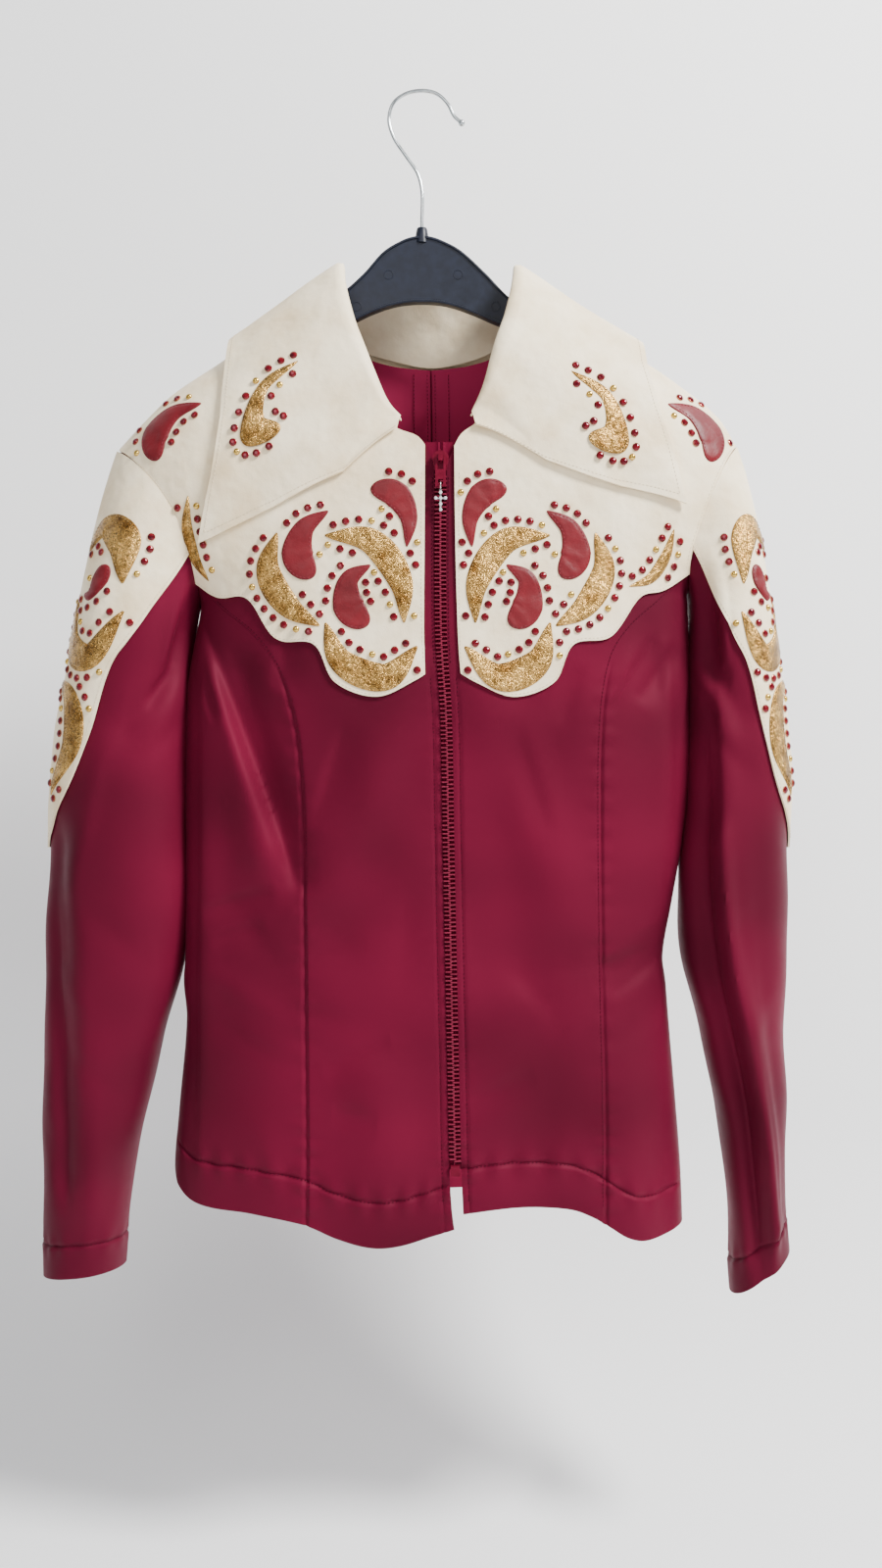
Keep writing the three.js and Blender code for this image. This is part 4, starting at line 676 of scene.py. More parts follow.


# Cloth and leather: the wrong side of each is rougher and paler than its face.
# Each satin's two colours are the dark and light ends of its painted sheen and shade.
satin = satinMaterial("burgundySatin", "440a1c", "5a0e26", 0.1, 0.56)
satinInside = satinMaterial("burgundySatinWrongSide", "8e2042", "a42c52", 0.05, 0.75)
ivory = leatherMaterial("ivoryLeather", "e0caa2", "f5e6c8", 0.55)
ivoryInside = leatherMaterial("ivoryLeatherFleshSide", "cdbfa8", "dbcfba", 0.75)
redLeather = leatherMaterial("redLeather", "52020c", "6a0314", 0.46, 0.0)
goldFoil = foilMaterial("goldFoilLeather", "7a5426", "d8ac62", "3c2810")
goldEdge = leatherMaterial("foilLeatherUnderside", "6e5a34", "8a7446", 0.7)
# Polyester thread: twisted, so it is a little duller and darker than what it is sewn on. The burgundy thread
# is much darker than the satin: painted shade of the seam grooves that it lies in.
burgundyThread = hardMaterial("burgundyThread", "2c0310", "40081c", 0.7, 0.4, 0.05,
                              Specular_Tint=linear("c05070"))
ivoryThread = hardMaterial("ivoryThread", "cbb998", "e6dac2", 0.6, 0.4, 0.05)
goldThread = hardMaterial("goldThread", "6e5630", "94794a", 0.6, 0.4, 0.05)
redThread = hardMaterial("redThread", "64081c", "84122a", 0.6, 0.4, 0.05)
# Moulded acetal teeth, an enamelled slider and a woven tape.
zipPlastic = hardMaterial("zipPlastic", "5e1428", "741c34", 0.4, 3, 0.015, Specular_Tint=linear("e0a0b0"))
sliderEnamel = hardMaterial("sliderEnamel", "4c0618", "5c0c22", 0.38, 3, 0.015,
                            Specular_Tint=linear("d86c88"))
zipTape = satinMaterial("zipTape", "520820", "600c28", 0.05, 0.8)
# Moulded polystyrene, nearly black and half glossy, with a bright drawn wire.
hangerPlastic = hardMaterial("hangerPlastic", "0b101d", "121828", 0.4, 5, 0.03, Specular_IOR_Level=0.3)
wireMetal = hardMaterial("brightWire", "a5abae", "c3c8ca", 0.2, 4, 0.01, Metallic=1.0)
# Cut glass with a sharp gloss in a coppery rim, pressed brass, cast silver and clear glass on foil.
stoneRed = hardMaterial("darkRedStone", "30010a", "6c0413", 0.08, 2.5, 0.005, Coat_Weight=0.35,
                        Coat_Roughness=0.03, Specular_IOR_Level=0.6, Specular_Tint=linear("ff8090"))
stoneRim = hardMaterial("roseMetalRim", "8a4a40", "b87462", 0.25, 1.5, 0.01, Metallic=1.0)
studBrass = hardMaterial("brassStud", "b08c3e", "e2c069", 0.22, 2, 0.01, Metallic=1.0)
charmSilver = hardMaterial("charmSilver", "8f9093", "c9cbce", 0.22, 1.2, 0.05, Metallic=1.0)
charmStone = hardMaterial("clearStone", "c9c6d2", "ffffff", 0.05, 1.0, 0.005, Metallic=0.4,
                          Specular_IOR_Level=0.9)
print("materials made:", len(bpy.data.materials))


fronts = {"columns": 94, "yokeRows": 52, "rows": stretches((0.9, 126), (1.0, 44)), "neckShare": 0.5,
          "stripShare": 0.955, "stripSteps": 4, "armholeShare": 0.22, "zipAbove": 0.35}
sideFront = {"around": stretches((0.88, 44), (1.0, 14)), "rows": stretches((0.85, 120), (1.0, 46))}
yokeBase = shape["yokeRaise"] + shape["leather"]


# The front edge beside the zip: the zip's line and half its gap.
def zipEdge(name, z):
    return zipX(z) + outward[name] * shape["zipHalf"]


# The neck edge, a little outside the neckline, from the shoulder's end on.
def neckEdge(name, line):
    clear = shape["neckClearance"]
    points = [(x + outward[name] * clear, z - clear / 2) for x, z in line]
    points[0] = (points[0][0], float(ridge(points[0][0])))
    return points


# A front panel's edges as curves: shoulder and neck on top, armhole, princess seam, yoke line and hem.
def frontEdges(name):
    out, gap = outward[name], shape["seamGap"]
    start = curveThrough(armholes[name])(princessStart)
    neckPoints = neckEdge(name, necklines[name][:-1])
    neckEnd = necklines[name][-1][1]
    neck = curveThrough([*neckPoints, (float(zipEdge(name, neckEnd)), neckEnd)])
    shoulder = acrossLine(armholes[name][0][0] - out * gap, neckPoints[0][0], ridge)
    yokeLine = curveThrough([(start[0] - out * gap, start[1]), *yokeLines[name],
                             (float(zipEdge(name, yokeAtZip)), yokeAtZip)])
    seam = curveThrough([tuple(start), *princessSeams[name]])
    armhole = curveThrough(armholes[name], 0, princessStart)
    return {
        "top": oneAfter(shoulder, neck, fronts["neckShare"]), "yoke": yokeLine,
        "hem": acrossLine(seam(1.0)[0] - out * gap, frontHems[name][-1][0], hemLine[name]),
        "armhole": moved(armhole, (-out * gap, 0)), "princess": moved(seam, (-out * gap, 0)),
        "neckEnd": neckEnd,
    }


# Flat grids of a front: the part that the yoke covers, and the whole panel down to the hem, where the
# zip edge eases out to the hem's corner.
def frontGrid(name):
    edge = frontEdges(name)
    half = fronts["columns"] // 2
    neckShare, strip = fronts["neckShare"], fronts["stripShare"]
    us = np.concatenate([stretches((0.05, 8), (neckShare, half)),
                         neckShare + ramp(half, 1.2)[1:] * (strip - neckShare),
                         strip + (1 - strip) * ramp(fronts["stripSteps"])[1:]])
    zipAbove = downLine(edge["neckEnd"], yokeAtZip, partial(zipEdge, name))
    hemX, hemZ = edge["hem"](np.array([1.0]))[0]

    def zipBelow(t):
        z = yokeAtZip + (hemZ - yokeAtZip) * t
        return np.stack([zipEdge(name, z) + (hemX - zipEdge(name, hemZ)) * t ** 24, z], -1)

    upper = patch(edge["top"], edge["yoke"], edge["armhole"], zipAbove, us,
                  ramp(fronts["yokeRows"], 1.2))
    sideEdge = oneAfter(edge["armhole"], edge["princess"], fronts["armholeShare"])
    zipSide = oneAfter(zipAbove, zipBelow, fronts["zipAbove"])
    return upper, patch(edge["top"], edge["hem"], sideEdge, zipSide, us, fronts["rows"]), us


# A flat grid laid on the garment's surface.
def liftGrid(flat, face):
    return bodyPoint(flat[..., 0], flat[..., 1], face)


towardsFront, towardsBack = np.array([0, -1.0, 0]), np.array([0, 1.0, 0])
frontFlats = {}


# A front's satin panel, and its yoke of leather over it, which ends at the strip beside the zip.
def makeFront(name):
    yokeFlat, flat, us = frontGrid(name)
    grid = liftGrid(flat, "front")
    points, quads, kind = wallMesh(grid, gridNormals(grid, towardsFront), 0.0, -shape["cloth"])
    panel = makePiece(f"frontPanel_{name}", points, quads, [satin, satinInside], kind)
    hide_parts(f"centre_front_{name}")
    last = len(us) - fronts["stripSteps"]
    yokeGrid = liftGrid(yokeFlat[:, :last], "front")
    yokeNormals = gridNormals(yokeGrid, towardsFront)
    points, quads, kind = wallMesh(yokeGrid, yokeNormals, yokeBase, shape["yokeRaise"])
    yoke = makePiece(f"frontYoke_{name}", points, quads, [ivory, ivoryInside], kind)
    bevel = yoke.modifiers.new("rounded edge", "BEVEL")
    bevel.width, bevel.segments, bevel.limit_method, bevel.angle_limit = 0.0004, 2, "ANGLE", radians(50)
    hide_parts(f"front_yoke_{name}")
    frontFlats[name] = yokeFlat[:, :last]


# A side front: between the side seam and the princess seam, pointed at the armhole.
def makeSideFront(name):
    out, gap = outward[name], shape["seamGap"]
    armhole = curveThrough(armholes[name], 1, princessStart)
    start = curveThrough(armholes[name])(princessStart)
    seam = curveThrough([tuple(start), *princessSeams[name]])
    princess = moved(seam, (out * gap, -2 * gap))
    hem = acrossLine(float(sideX[name](frontHems[name][0][1])), float(princess(1.0)[0]), hemLine[name])
    sideSeam = downLine(armholes[name][-1][1], hem(np.array([0.0]))[0][1], sideX[name])
    us = 1 - np.cos(sideFront["around"] * np.pi / 2)
    flat = patch(armhole, hem, sideSeam, princess, us, sideFront["rows"])
    flat[0] -= [out * gap, gap]
    grid = liftGrid(flat, "front")
    away = np.stack([grid[..., 0] - (sideX[name](grid[..., 2]) - out * 40), grid[..., 1],
                     np.zeros(grid.shape[:2])], -1)
    points, quads, kind = wallMesh(grid, gridNormals(grid, away), 0.0, -shape["cloth"])
    panel = makePiece(f"sidePanel_{name}", points, quads, [satin, satinInside], kind)
    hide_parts(f"side_front_{name}")


for name in sides:
    makeFront(name)
    makeSideFront(name)
print("fronts and yokes made")

backs = {"columns": 60, "yokeRows": 44, "skirtRows": 100, "hemRows": 44, "neckShare": 0.68,
         "armholeShare": 0.16}


# The edge along the centre-back seam.
def backMiddleX(name, z):
    return backSeamX(z) + outward[name] * shape["seamGap"] / 2


# Flat grid of a back, half of it in rows that end on the yoke's line and half below that.
def backGrid(name):
    out, gap = outward[name], shape["seamGap"]
    middle = partial(backMiddleX, name)
    neckPoints = neckEdge(name, backNecklines[name])
    yokeTop = neckPoints[-1][1]
    neckPoints[-1] = (float(middle(yokeTop)), yokeTop)
    shoulder = acrossLine(armholes[name][0][0] - out * gap, neckPoints[0][0], ridge)
    top = oneAfter(shoulder, curveThrough(neckPoints), backs["neckShare"])
    edgeX, edgeZ = curveThrough(armholes[name])(backYoke["atArmhole"])
    edgeX -= out * gap
    yokeLine = curveThrough([(edgeX + (float(middle(z)) - edgeX) * t, edgeZ if t == 0 else z)
                             for t, z in backYoke["line"]])
    yokeEnd = yokeLine(1.0)[1]
    hem = acrossLine(float(sideX[name](backHems[name][0][1])), float(middle(backHems[name][-1][1])),
                     backHemLine[name])
    hemEnds = hem(np.array([0.0, 1.0]))[:, 1]
    above = moved(curveThrough(armholes[name], 0, backYoke["atArmhole"]), (-out * gap, 0))
    below = moved(curveThrough(armholes[name], backYoke["atArmhole"], 1), (-out * gap, 0))
    sideSeam = downLine(armholes[name][-1][1], hemEnds[0], sideX[name])
    us = 1 - np.cos(stretches((0.94, backs["columns"]), (1.0, 12)) * np.pi / 2)
    us = us / us[-1]
    upper = patch(top, yokeLine, above, downLine(yokeTop, yokeEnd, middle), us,
                  ramp(backs["yokeRows"], 1.6))
    lower = patch(yokeLine, hem, oneAfter(below, sideSeam, backs["armholeShare"]),
                  downLine(yokeEnd, hemEnds[1], middle), us,
                  stretches((0.85, backs["skirtRows"]), (1.0, backs["hemRows"])))
    return np.vstack([upper, lower[1:]])


backGrids = {name: liftGrid(backGrid(name), "back") for name in sides}
for name in sides:
    grid = backGrids[name]
    points, quads, kind = wallMesh(grid, gridNormals(grid, towardsBack), 0.0, -shape["cloth"])
    panel = makePiece(f"backPanel_{name}", points, quads, [satin, satinInside], kind)
    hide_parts(f"back_{name}")

# The back yoke lies over both backs in one piece.
rows = backs["yokeRows"] + 1
yokeGrid = np.hstack([backGrids["left"][:rows], backGrids["right"][:rows, ::-1][:, 1:]])
points, quads, kind = wallMesh(yokeGrid, gridNormals(yokeGrid, towardsBack), yokeBase, shape["yokeRaise"])
yoke = makePiece("backYoke", points, quads, [ivory, ivoryInside], kind)
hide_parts("back_yoke")
print("backs made")

# The arm in millimetres: at each height, its outer and inner edge, and its reach to front and back.
sleeve = {
    "z": [-400, -440, -480, -545, -600, -650, -700, -750, -812],
    "outer": {"left": [-244, -250.5, -255, -258, -260, -261, -261.5, -262, -261],
              "right": [243.5, 249, 251, 250.5, 250, 248.5, 249.5, 249, 251]},
    "inner": {"left": [-158.8, -159.6, -161, -161, -165.5, -178.5, -191, -200, -207],
              "right": [181.2, 181, 180, 176.6, 179, 191.5, 202, 209, 213]},
    "front": [41, 41, 40, 38, 36, 34, 32, 30, 28],
    "back": [40, 40, 38, 34, 31, 28, 25, 22, 19],
    "cuffSlant": {"left": -3, "right": 16}, "squareness": 2.25, "shift": 0.3,
    "around": 120, "capRows": 50, "armRows": stretches((0.9, 112), (1.0, 34)), "cuffDepth": 22,
    "capRaise": 0.9, "capTip": -522, "cuffGroove": (1.0, 1.3), "cuffPucker": (15, 8, 0.4),
    "cuffStep": (0.5, 2.5),
    "leaves": {"outer": (0.34, 0.0, -0.94), "middle": (0.62, 0.2, -0.74), "inner": (0.2, 0.0, -0.98)},
}
# Folds as on the body, with an angle in degrees for x, which runs from outwards round to the front.
sleeveFolds = {
    "left": [(38, -520, 75, -740, 17, -4), (62, -540, 102, -760, 18, 2.5),
             (150, -385, 100, -440, 15, -3), (262, -520, 240, -720, 18, -3)],
    "right": [(112, -520, 70, -780, 14, 4.5), (140, -500, 104, -780, 17, -4),
              (130, -390, 96, -430, 15, -3.5), (262, -500, 244, -720, 18, -3)],
}
sleeveCreases = {
    "left": [(150, -400, 110, -430, 6, -1.6), (160, -430, 96, -470, 8, -1.2),
             (70, -560, 120, -600, 8, -1.0), (40, -600, 96, -640, 9, 0.9),
             (60, -655, 120, -690, 8, -0.9), (30, -700, 80, -760, 10, -0.9),
             (210, -560, 250, -600, 9, -1.1), (200, -600, 260, -640, 9, 1.0),
             (220, -680, 270, -720, 9, -1.0)],
    "right": [(150, -392, 104, -420, 6, -1.8), (150, -424, 90, -470, 7, -1.3),
              (100, -500, 84, -640, 6, -1.6), (70, -560, 120, -596, 8, -0.9),
              (60, -620, 110, -660, 9, 0.9), (84, -660, 64, -790, 5, -1.8),
              (210, -560, 250, -600, 9, -1.1), (206, -610, 262, -646, 9, 1.0),
              (220, -690, 270, -730, 9, -1.0)],
}
sleeveLedges = {
    "left": [(96, -408, 62, -560, 14, 6, 2.0), (30, -540, 78, -770, 10, 6, -2.2),
             (150, -392, 112, -424, 4, 8, -2.6), (236, -470, 262, -640, 8, 14, 2.2)],
    "right": [(118, -400, 74, -830, 16, 7, 5.5), (138, -430, 94, -830, 7, 14, -4.0),
              (150, -384, 100, -410, 4, 8, -3.0), (142, -420, 118, -440, 6, 4, -2.2),
              (236, -470, 262, -640, 8, 14, 2.2)],
}
capBase = sleeve["capRaise"] + shape["leather"]
# Degrees that a cap reaches to each side of the outermost line, by height.
capSpread = smoothLine([-256, -330, -368, -400, -450, -485, -522], [120, 118, 104, 84, 70, 52, 8])
sleeveLine = {name: {"outer": smoothLine(sleeve["z"], sleeve["outer"][name]),
                     "inner": smoothLine(sleeve["z"], sleeve["inner"][name]),
                     "front": smoothLine(sleeve["z"], sleeve["front"]),
                     "back": smoothLine(sleeve["z"], sleeve["back"])} for name in sides}
firstRing, cuffZ = sleeve["z"][0], sleeve["z"][-1]


# A point of the arm: a superellipse ring whose width and depth follow the tables, plus its folds,
# and the cuff slanted by the cosine of the angle.
def ringPoint(name, angle, z):
    angle, z = np.broadcast_arrays(np.asarray(angle, float), np.asarray(z, float))
    row = sleeveLine[name]
    middle, half = (row["outer"](z) + row["inner"](z)) / 2, np.abs(row["outer"](z) - row["inner"](z)) / 2
    c, s = np.cos(angle), np.sin(angle)
    power = 2 / sleeve["squareness"]
    squaredC, squaredS = np.sign(c) * np.abs(c) ** power, np.sign(s) * np.abs(s) ** power
    degrees = np.degrees(angle) % 360
    fromStitch = z - cuffZ - sleeve["cuffDepth"]
    rise, run = sleeve["cuffStep"]
    swollen = (ridgeSum(sleeveFolds[name], degrees, z) + ridgeSum(sleeveCreases[name], degrees, z, True)
               + ledgeSum(sleeveLedges[name], degrees, z) + 0.5 * np.sin(2 * angle + z / 19)
               + 0.35 * np.sin(3 * angle - z / 11 + outward[name])
               - groove(fromStitch, *sleeve["cuffGroove"])
               + puckers(degrees * 0.6, np.abs(fromStitch), *sleeve["cuffPucker"])
               + rise * np.clip(-fromStitch / run, 0, 1))
    depth = np.where(s > 0, row["front"](z), row["back"](z))
    low = np.clip((-z - 700) / 112, 0, 1)
    slant = sleeve["cuffSlant"][name] * c * low * low * (3 - 2 * low)
    return np.stack([middle + outward[name] * (half * squaredC + swollen * c),
                     -(depth * squaredS + swollen * s), z + slant], -1)


# A point of the armhole: its line read by the angle's cosine, on the front or the back.
def armholePoint(name, angle):
    flat = curveThrough(armholes[name])((1 - np.cos(angle)) / 2)
    front, back = (bodyPoint(flat[..., 0], flat[..., 1], face) for face in ("front", "back"))
    p = np.where((np.sin(angle) > 0)[..., None], front, back)
    p[..., 0] += outward[name] * sleeve["shift"]
    return p


# The direction in which the cap leaves the armhole: the middle one mixed with the outer or the inner
# one by the size of the angle's cosine.
def leaving(name, angle):
    c, s = np.cos(angle)[..., None], np.sin(angle)
    outer, middle, inner = (np.array(sleeve["leaves"][key]) for key in ("outer", "middle", "inner"))
    mixed = middle + (np.where(c > 0, outer, inner) - middle) * np.abs(c)
    d = np.stack([outward[name] * mixed[..., 0], -np.sign(s) * mixed[..., 1], mixed[..., 2]], -1)
    return d / np.linalg.norm(d, axis=-1, keepdims=True)


# The sleeve's surface: a cubic from the armhole to the first ring while down is under 1, and the
# arm's rings below that.
def sleevePoint(name, angle, down, z):
    angle, down, z = np.broadcast_arrays(np.asarray(angle, float), np.asarray(down, float),
                                         np.asarray(z, float))
    a, b = armholePoint(name, angle), ringPoint(name, angle, firstRing)
    reach = np.linalg.norm(a - b, axis=-1)[..., None]
    below = ringPoint(name, angle, firstRing - 8) - b
    below /= np.linalg.norm(below, axis=-1, keepdims=True)
    t = np.clip(down, 0, 1)[..., None]
    s = 1 - t
    cap = (a * s * s * (1 + 2 * t) + b * t * t * (1 + 2 * s) + leaving(name, angle) * reach * t * s * s
           - below * reach * t * t * s)
    return np.where(t < 1, cap, ringPoint(name, angle, z))


# The sleeve's point at an angle and a height.
def placeOnSleeve(name, angle, z):
    top, bottom = armholePoint(name, angle)[..., 2], ringPoint(name, angle, firstRing)[..., 2]
    return sleevePoint(name, angle, np.maximum(0, (z - top) / (bottom - top)), np.minimum(z, firstRing))


# The level direction from the arm's middle line to a point.
def fromSleeve(name, p):
    z = np.minimum(firstRing, p[..., 2])
    row = sleeveLine[name]
    return np.stack([p[..., 0] - (row["outer"](z) + row["inner"](z)) / 2, p[..., 1], np.zeros(z.shape)], -1)


# Place and outward normal on a sleeve at an angle in degrees and a height.
def sleeveSurface(name, degrees, z):
    angle = np.radians(degrees)
    z = np.minimum(z, armholePoint(name, angle)[..., 2] - 0.3)
    p = placeOnSleeve(name, angle, z)
    turn = placeOnSleeve(name, angle + 0.05, z) - placeOnSleeve(name, angle - 0.05, z)
    n = np.cross(turn, placeOnSleeve(name, angle, z - 2) - placeOnSleeve(name, angle, z + 2))
    n /= np.linalg.norm(n, axis=-1, keepdims=True)
    facing = (n * fromSleeve(name, p)).sum(-1, keepdims=True)
    return p, np.where(facing < 0, -n, n)


for name in sides:
    angle = (np.arange(sleeve["around"]) + 0.5) / sleeve["around"] * 2 * np.pi
    capDown, armZ = ramp(sleeve["capRows"])[:-1], firstRing + (cuffZ - firstRing) * sleeve["armRows"]
    down = np.concatenate([capDown, np.ones(len(armZ))])[:, None]
    z = np.concatenate([np.full(len(capDown), firstRing), armZ])[:, None]
    grid = sleevePoint(name, angle[None], down, z)
    normals = gridNormals(grid, fromSleeve(name, grid), True)
    points, quads, kind = wallMesh(grid, normals, 0.0, -shape["cloth"], True)
    tube = makePiece(f"sleeve_{name}_cloth", points, quads, [satin, satinInside], kind)
    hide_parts(f"sleeve_{name}")

    across = np.linspace(-1, 1, 71)[None, :]
    topZ = armholePoint(name, np.radians(120 * across[0]))[:, 2][None]
    share = np.linspace(0.0, 1, 82)[:, None]
    height = topZ + (sleeve["capTip"] - topZ) * share
    capGrid, capNormals = sleeveSurface(name, capSpread(height) * across, height)
    points, quads, kind = wallMesh(capGrid, capNormals, capBase, sleeve["capRaise"])
    cap = makePiece(f"sleeveCap_{name}", points, quads, [ivory, ivoryInside], kind)
    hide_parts(f"sleeve_cap_{name}")
print("sleeves made")

# Three lines of the collar from corner to corner: x, and the distance down from the shoulder ridge,
# which is negative behind.
collarStations = {
    "seam": [(-14, 119), (-31, 105), (-46, 68), (-55, 42), (-60, 14), (-62, 1), (-60.5, -13), (-54, -25),
             (-42, -43), (-20, -56), (5, -62), (29, -56), (48.5, -43), (60.5, -25), (69.5, -13), (71, 1),
             (69, 14), (63.5, 37), (56, 64), (46, 93), (32, 114)],
    "fold": [(-15, 117), (-27, 102), (-41, 64), (-49, 39), (-55, 12), (-57, 0), (-57, -8), (-52, -14),
             (-41, -18), (-20, -16), (5, -12), (29, -16), (49, -18), (60, -14), (64, -8), (65, 0),
             (63, 12), (58, 36), (51, 60), (43, 90), (33, 112)],
    "edge": [(-17, 124), (-52, 141), (-100, 134), (-150, 121), (-140, 83), (-134, 50), (-133, 16),
             (-131, -20), (-116, -60), (-60, -97), (5, -114), (70, -95), (130, -60), (148, -18),
             (151, 14), (158, 39), (168, 62), (176, 86), (132, 104), (82, 119), (35, 120)],
}
collar = {"steps": 12, "fallRows": 44, "roll": 2.3, "clearance": 4.6, "thick": 2.4, "lift": 8, "reach": 36,
          "middle": 8, "cornerOut": 1.7, "cornerReach": 1.3, "stand": [0, 0.2, 0.4, 0.6, 0.8, 0.95],
          "rollRows": [(-0.9, 1.0, 0.6), (-1.0, 1.2, 2.4), (-0.9, 1.4, 3.0)]}


# A height below the ridge as a distance along the cloth: an arc over the shoulder, then straight.
def overRidge(w):
    h, radius = np.abs(w), shape["shoulderRound"]
    onArc = np.minimum(h, radius)
    return np.sign(w) * (radius * np.arccos(1 - onArc / radius) + h - onArc)


# A place under the collar and the direction away from the garment there, from x and the distance
# over the ridge.
def collarFrame(x, over):
    radius = shape["shoulderRound"]
    quarter, far = radius * np.pi / 2, np.abs(over)
    turn = np.minimum(far, quarter) / radius
    drop = radius * (1 - np.cos(turn)) + far - np.minimum(far, quarter)
    z = ridge(x) - drop
    front = (over > 0)[..., None]
    p = np.where(front, smoothBody(x, z, "front"), smoothBody(x, z, "back"))
    depth = np.where(over > 0, swell["front"](z), swell["back"](z))
    n = np.stack([np.zeros(x.shape), np.sin(turn) * radius * np.where(over > 0, -1, 1),
                  np.cos(turn) * depth], -1)
    return p, n / np.linalg.norm(n, axis=-1, keepdims=True)


# The garment's surface with none of its creases.
def smoothBody(x, z, face):
    left, right = sideX["left"](z), sideX["right"](z)
    across = np.clip(np.abs(x - (left + right) / 2) / ((right - left) / 2), 0, 1)
    power = shape["squareness"]
    below = np.clip((ridge(x) - z) / shape["shoulderRound"], 0, 1)
    depth = (swell[face](z) * (1 - across ** power) ** (1 / power) * np.sqrt(1 - (1 - below) ** 2)
             + shape["sideGap"] / 2)
    return np.stack([x, -depth if face == "front" else depth, z], -1)


# A point of the collar: that place moved out, and lifted near the ridge where the collar rolls over.
def collarPoint(x, over, out):
    x, over, out = np.broadcast_arrays(np.asarray(x, float), np.asarray(over, float), np.asarray(out, float))
    p, n = collarFrame(x, over)
    lift = collar["lift"] * np.exp(-(over / collar["reach"]) ** 2)
    lift = np.where(out > collar["roll"], lift, lift * out / collar["roll"])
    return p + n * (out + lift)[..., None]


# The three lines at even steps: the edge straight between its stations, the others smooth.
def collarLines():
    count = len(collarStations["seam"])
    stations = np.arange(count)
    s = np.linspace(0, count - 1, (count - 1) * collar["steps"] + 1)
    read = {}
    for key, rowsOf in collarStations.items():
        x, w = np.array(rowsOf, float).T
        over = overRidge(w)
        if key == "edge":
            read[key] = np.stack([np.interp(s, stations, x), np.interp(s, stations, over)], -1)
        else:
            read[key] = np.stack([smoothLine(stations, x)(s), smoothLine(stations, over)(s)], -1)
    return s, read


collarS, collarRead = collarLines()


# Soft buckles of the collar leather: slow waves that grow towards the outer edge.
def collarBuckle(s, k):
    return (0.7 * np.sin(1.9 * s + 0.6) + 0.5 * np.sin(3.7 * s + 2.0 * k)) * k ** 1.5


# Nought at the collar's two front corners, one from a little way in: a smooth step.
def fromCorner(s):
    t = np.clip(np.minimum(s, len(collarStations["seam"]) - 1 - s) / collar["cornerReach"], 0, 1)
    return t * t * (3 - 2 * t)


# The collar in one sheet: the stand straight from seam to fold, the rows of the roll, each with its
# share of the roll, its height at the corners and what is added between them, and the fall to the edge.
def makeCollar():
    seam, foldLine, edge = (collarRead[k][:, None] for k in ("seam", "fold", "edge"))
    reach = np.linalg.norm(edge - foldLine, axis=-1, keepdims=True)
    roll = np.minimum(collar["roll"], 0.4 * np.linalg.norm(seam - foldLine, axis=-1, keepdims=True))
    rowsOf = [collarPoint(*np.moveaxis(seam + (foldLine - seam) * k, -1, 0), 0.85 * k)
              for k in collar["stand"]]
    inFrom = fromCorner(collarS)[:, None]
    for share, atCorner, added in collar["rollRows"]:
        bent = foldLine + (edge - foldLine) * share * roll / reach
        rowsOf.append(collarPoint(*np.moveaxis(bent, -1, 0), atCorner + added * inFrom))
    k = np.linspace(0.0, 1, collar["fallRows"])[None, :, None]
    fall = foldLine + (edge - foldLine) * (0.02 + 0.98 * k)
    down = k[..., 0]
    out = collar["clearance"] + 2.0 * (1 - down) ** 2 + collarBuckle(collarS[:, None], down)
    out = collar["cornerOut"] + (out - collar["cornerOut"]) * np.maximum(inFrom, down)
    grid = np.concatenate([*rowsOf, collarPoint(fall[..., 0], fall[..., 1], out)], 1)
    half = collar["thick"] / 2 * (0.5 + 0.5 * inFrom)
    normals = gridNormals(grid, np.stack([np.zeros(grid.shape[:2]), grid[..., 1],
                                          np.zeros(grid.shape[:2])], -1))
    points, quads, kind = wallMesh(grid, normals, half, -half)
    piece = makePiece("collarLeather", points, quads, [ivory, ivory], kind, sharp=60)
    bevel = piece.modifiers.new("turned edge", "BEVEL")
    bevel.width, bevel.segments, bevel.limit_method, bevel.angle_limit = 0.0007, 3, "ANGLE", radians(55)
    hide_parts("collar")
    return grid, normals


collarGrid, collarNormals = makeCollar()
print("collar made")

# Each motif: name, form, width and its line, as (distance from the zip, height), with the right
# side's own line where that differs.
yokeMotifs = [
    ("gold_leaf_1", "leaf", 20, [(16, -388), (38, -408), (66, -398), (76, -372)], None),
    ("gold_leaf_2", "leaf", 19, [(24, -372), (26, -345), (46, -318), (76, -314)], None),
    ("gold_leaf_3", "leaf", 18, [(80, -374), (101, -360), (114, -336), (108, -312)], None),
    ("gold_leaf_4", "leaf", 8, [(155, -341), (163.5, -327), (169, -306), (168, -286)],
     [(132, -347), (147, -341), (158, -326), (164, -308)]),
    ("red_drop_1", "drop", 21, [(48, -374), (60, -362), (60, -344), (46, -334)], None),
    ("red_drop_2", "drop", 21, [(84, -342), (94, -328), (90, -310), (74, -298)], None),
    ("red_drop_3", "drop", 18, [(46, -283), (30, -287), (21, -302), (22, -322)], None),
    ("red_drop_4", "drop", 19, [(190, -262), (192, -246), (180, -230), (160, -224)], None),
]
# On the sleeve caps a line is (angle in degrees, height), and on the collar as its stations are.
sleeveMotifs = [
    ("gold_leaf_5", "leaf", 19, [(82, -348), (70, -320), (46, -307), (22, -322)]),
    ("gold_leaf_6", "leaf", 19, [(88, -366), (62, -394), (32, -384), (20, -350)]),
    ("gold_leaf_7", "leaf", 17, [(14, -408), (44, -420), (54, -452), (30, -486)]),
    ("red_drop_5", "drop", 15, [(60, -334), (57, -346), (49, -353), (38, -352)]),
    ("gold_leaf_8", "leaf", 18, [(-86, -350), (-70, -390), (-36, -400), (-12, -372)]),
    ("red_drop_6", "drop", 13, [(-58, -350), (-48, -352), (-37, -346), (-28, -334)]),
]
collarMotif = ("collar_drop", "drop", 16, [(-94, 88), (-112, 74), (-106, 52), (-82, 50)])
applique = {"thick": 1.1, "along": 60, "across": 14, "stitchIn": 1.5, "sleeveScale": 0.7,
            "rightSqueeze": 0.95}
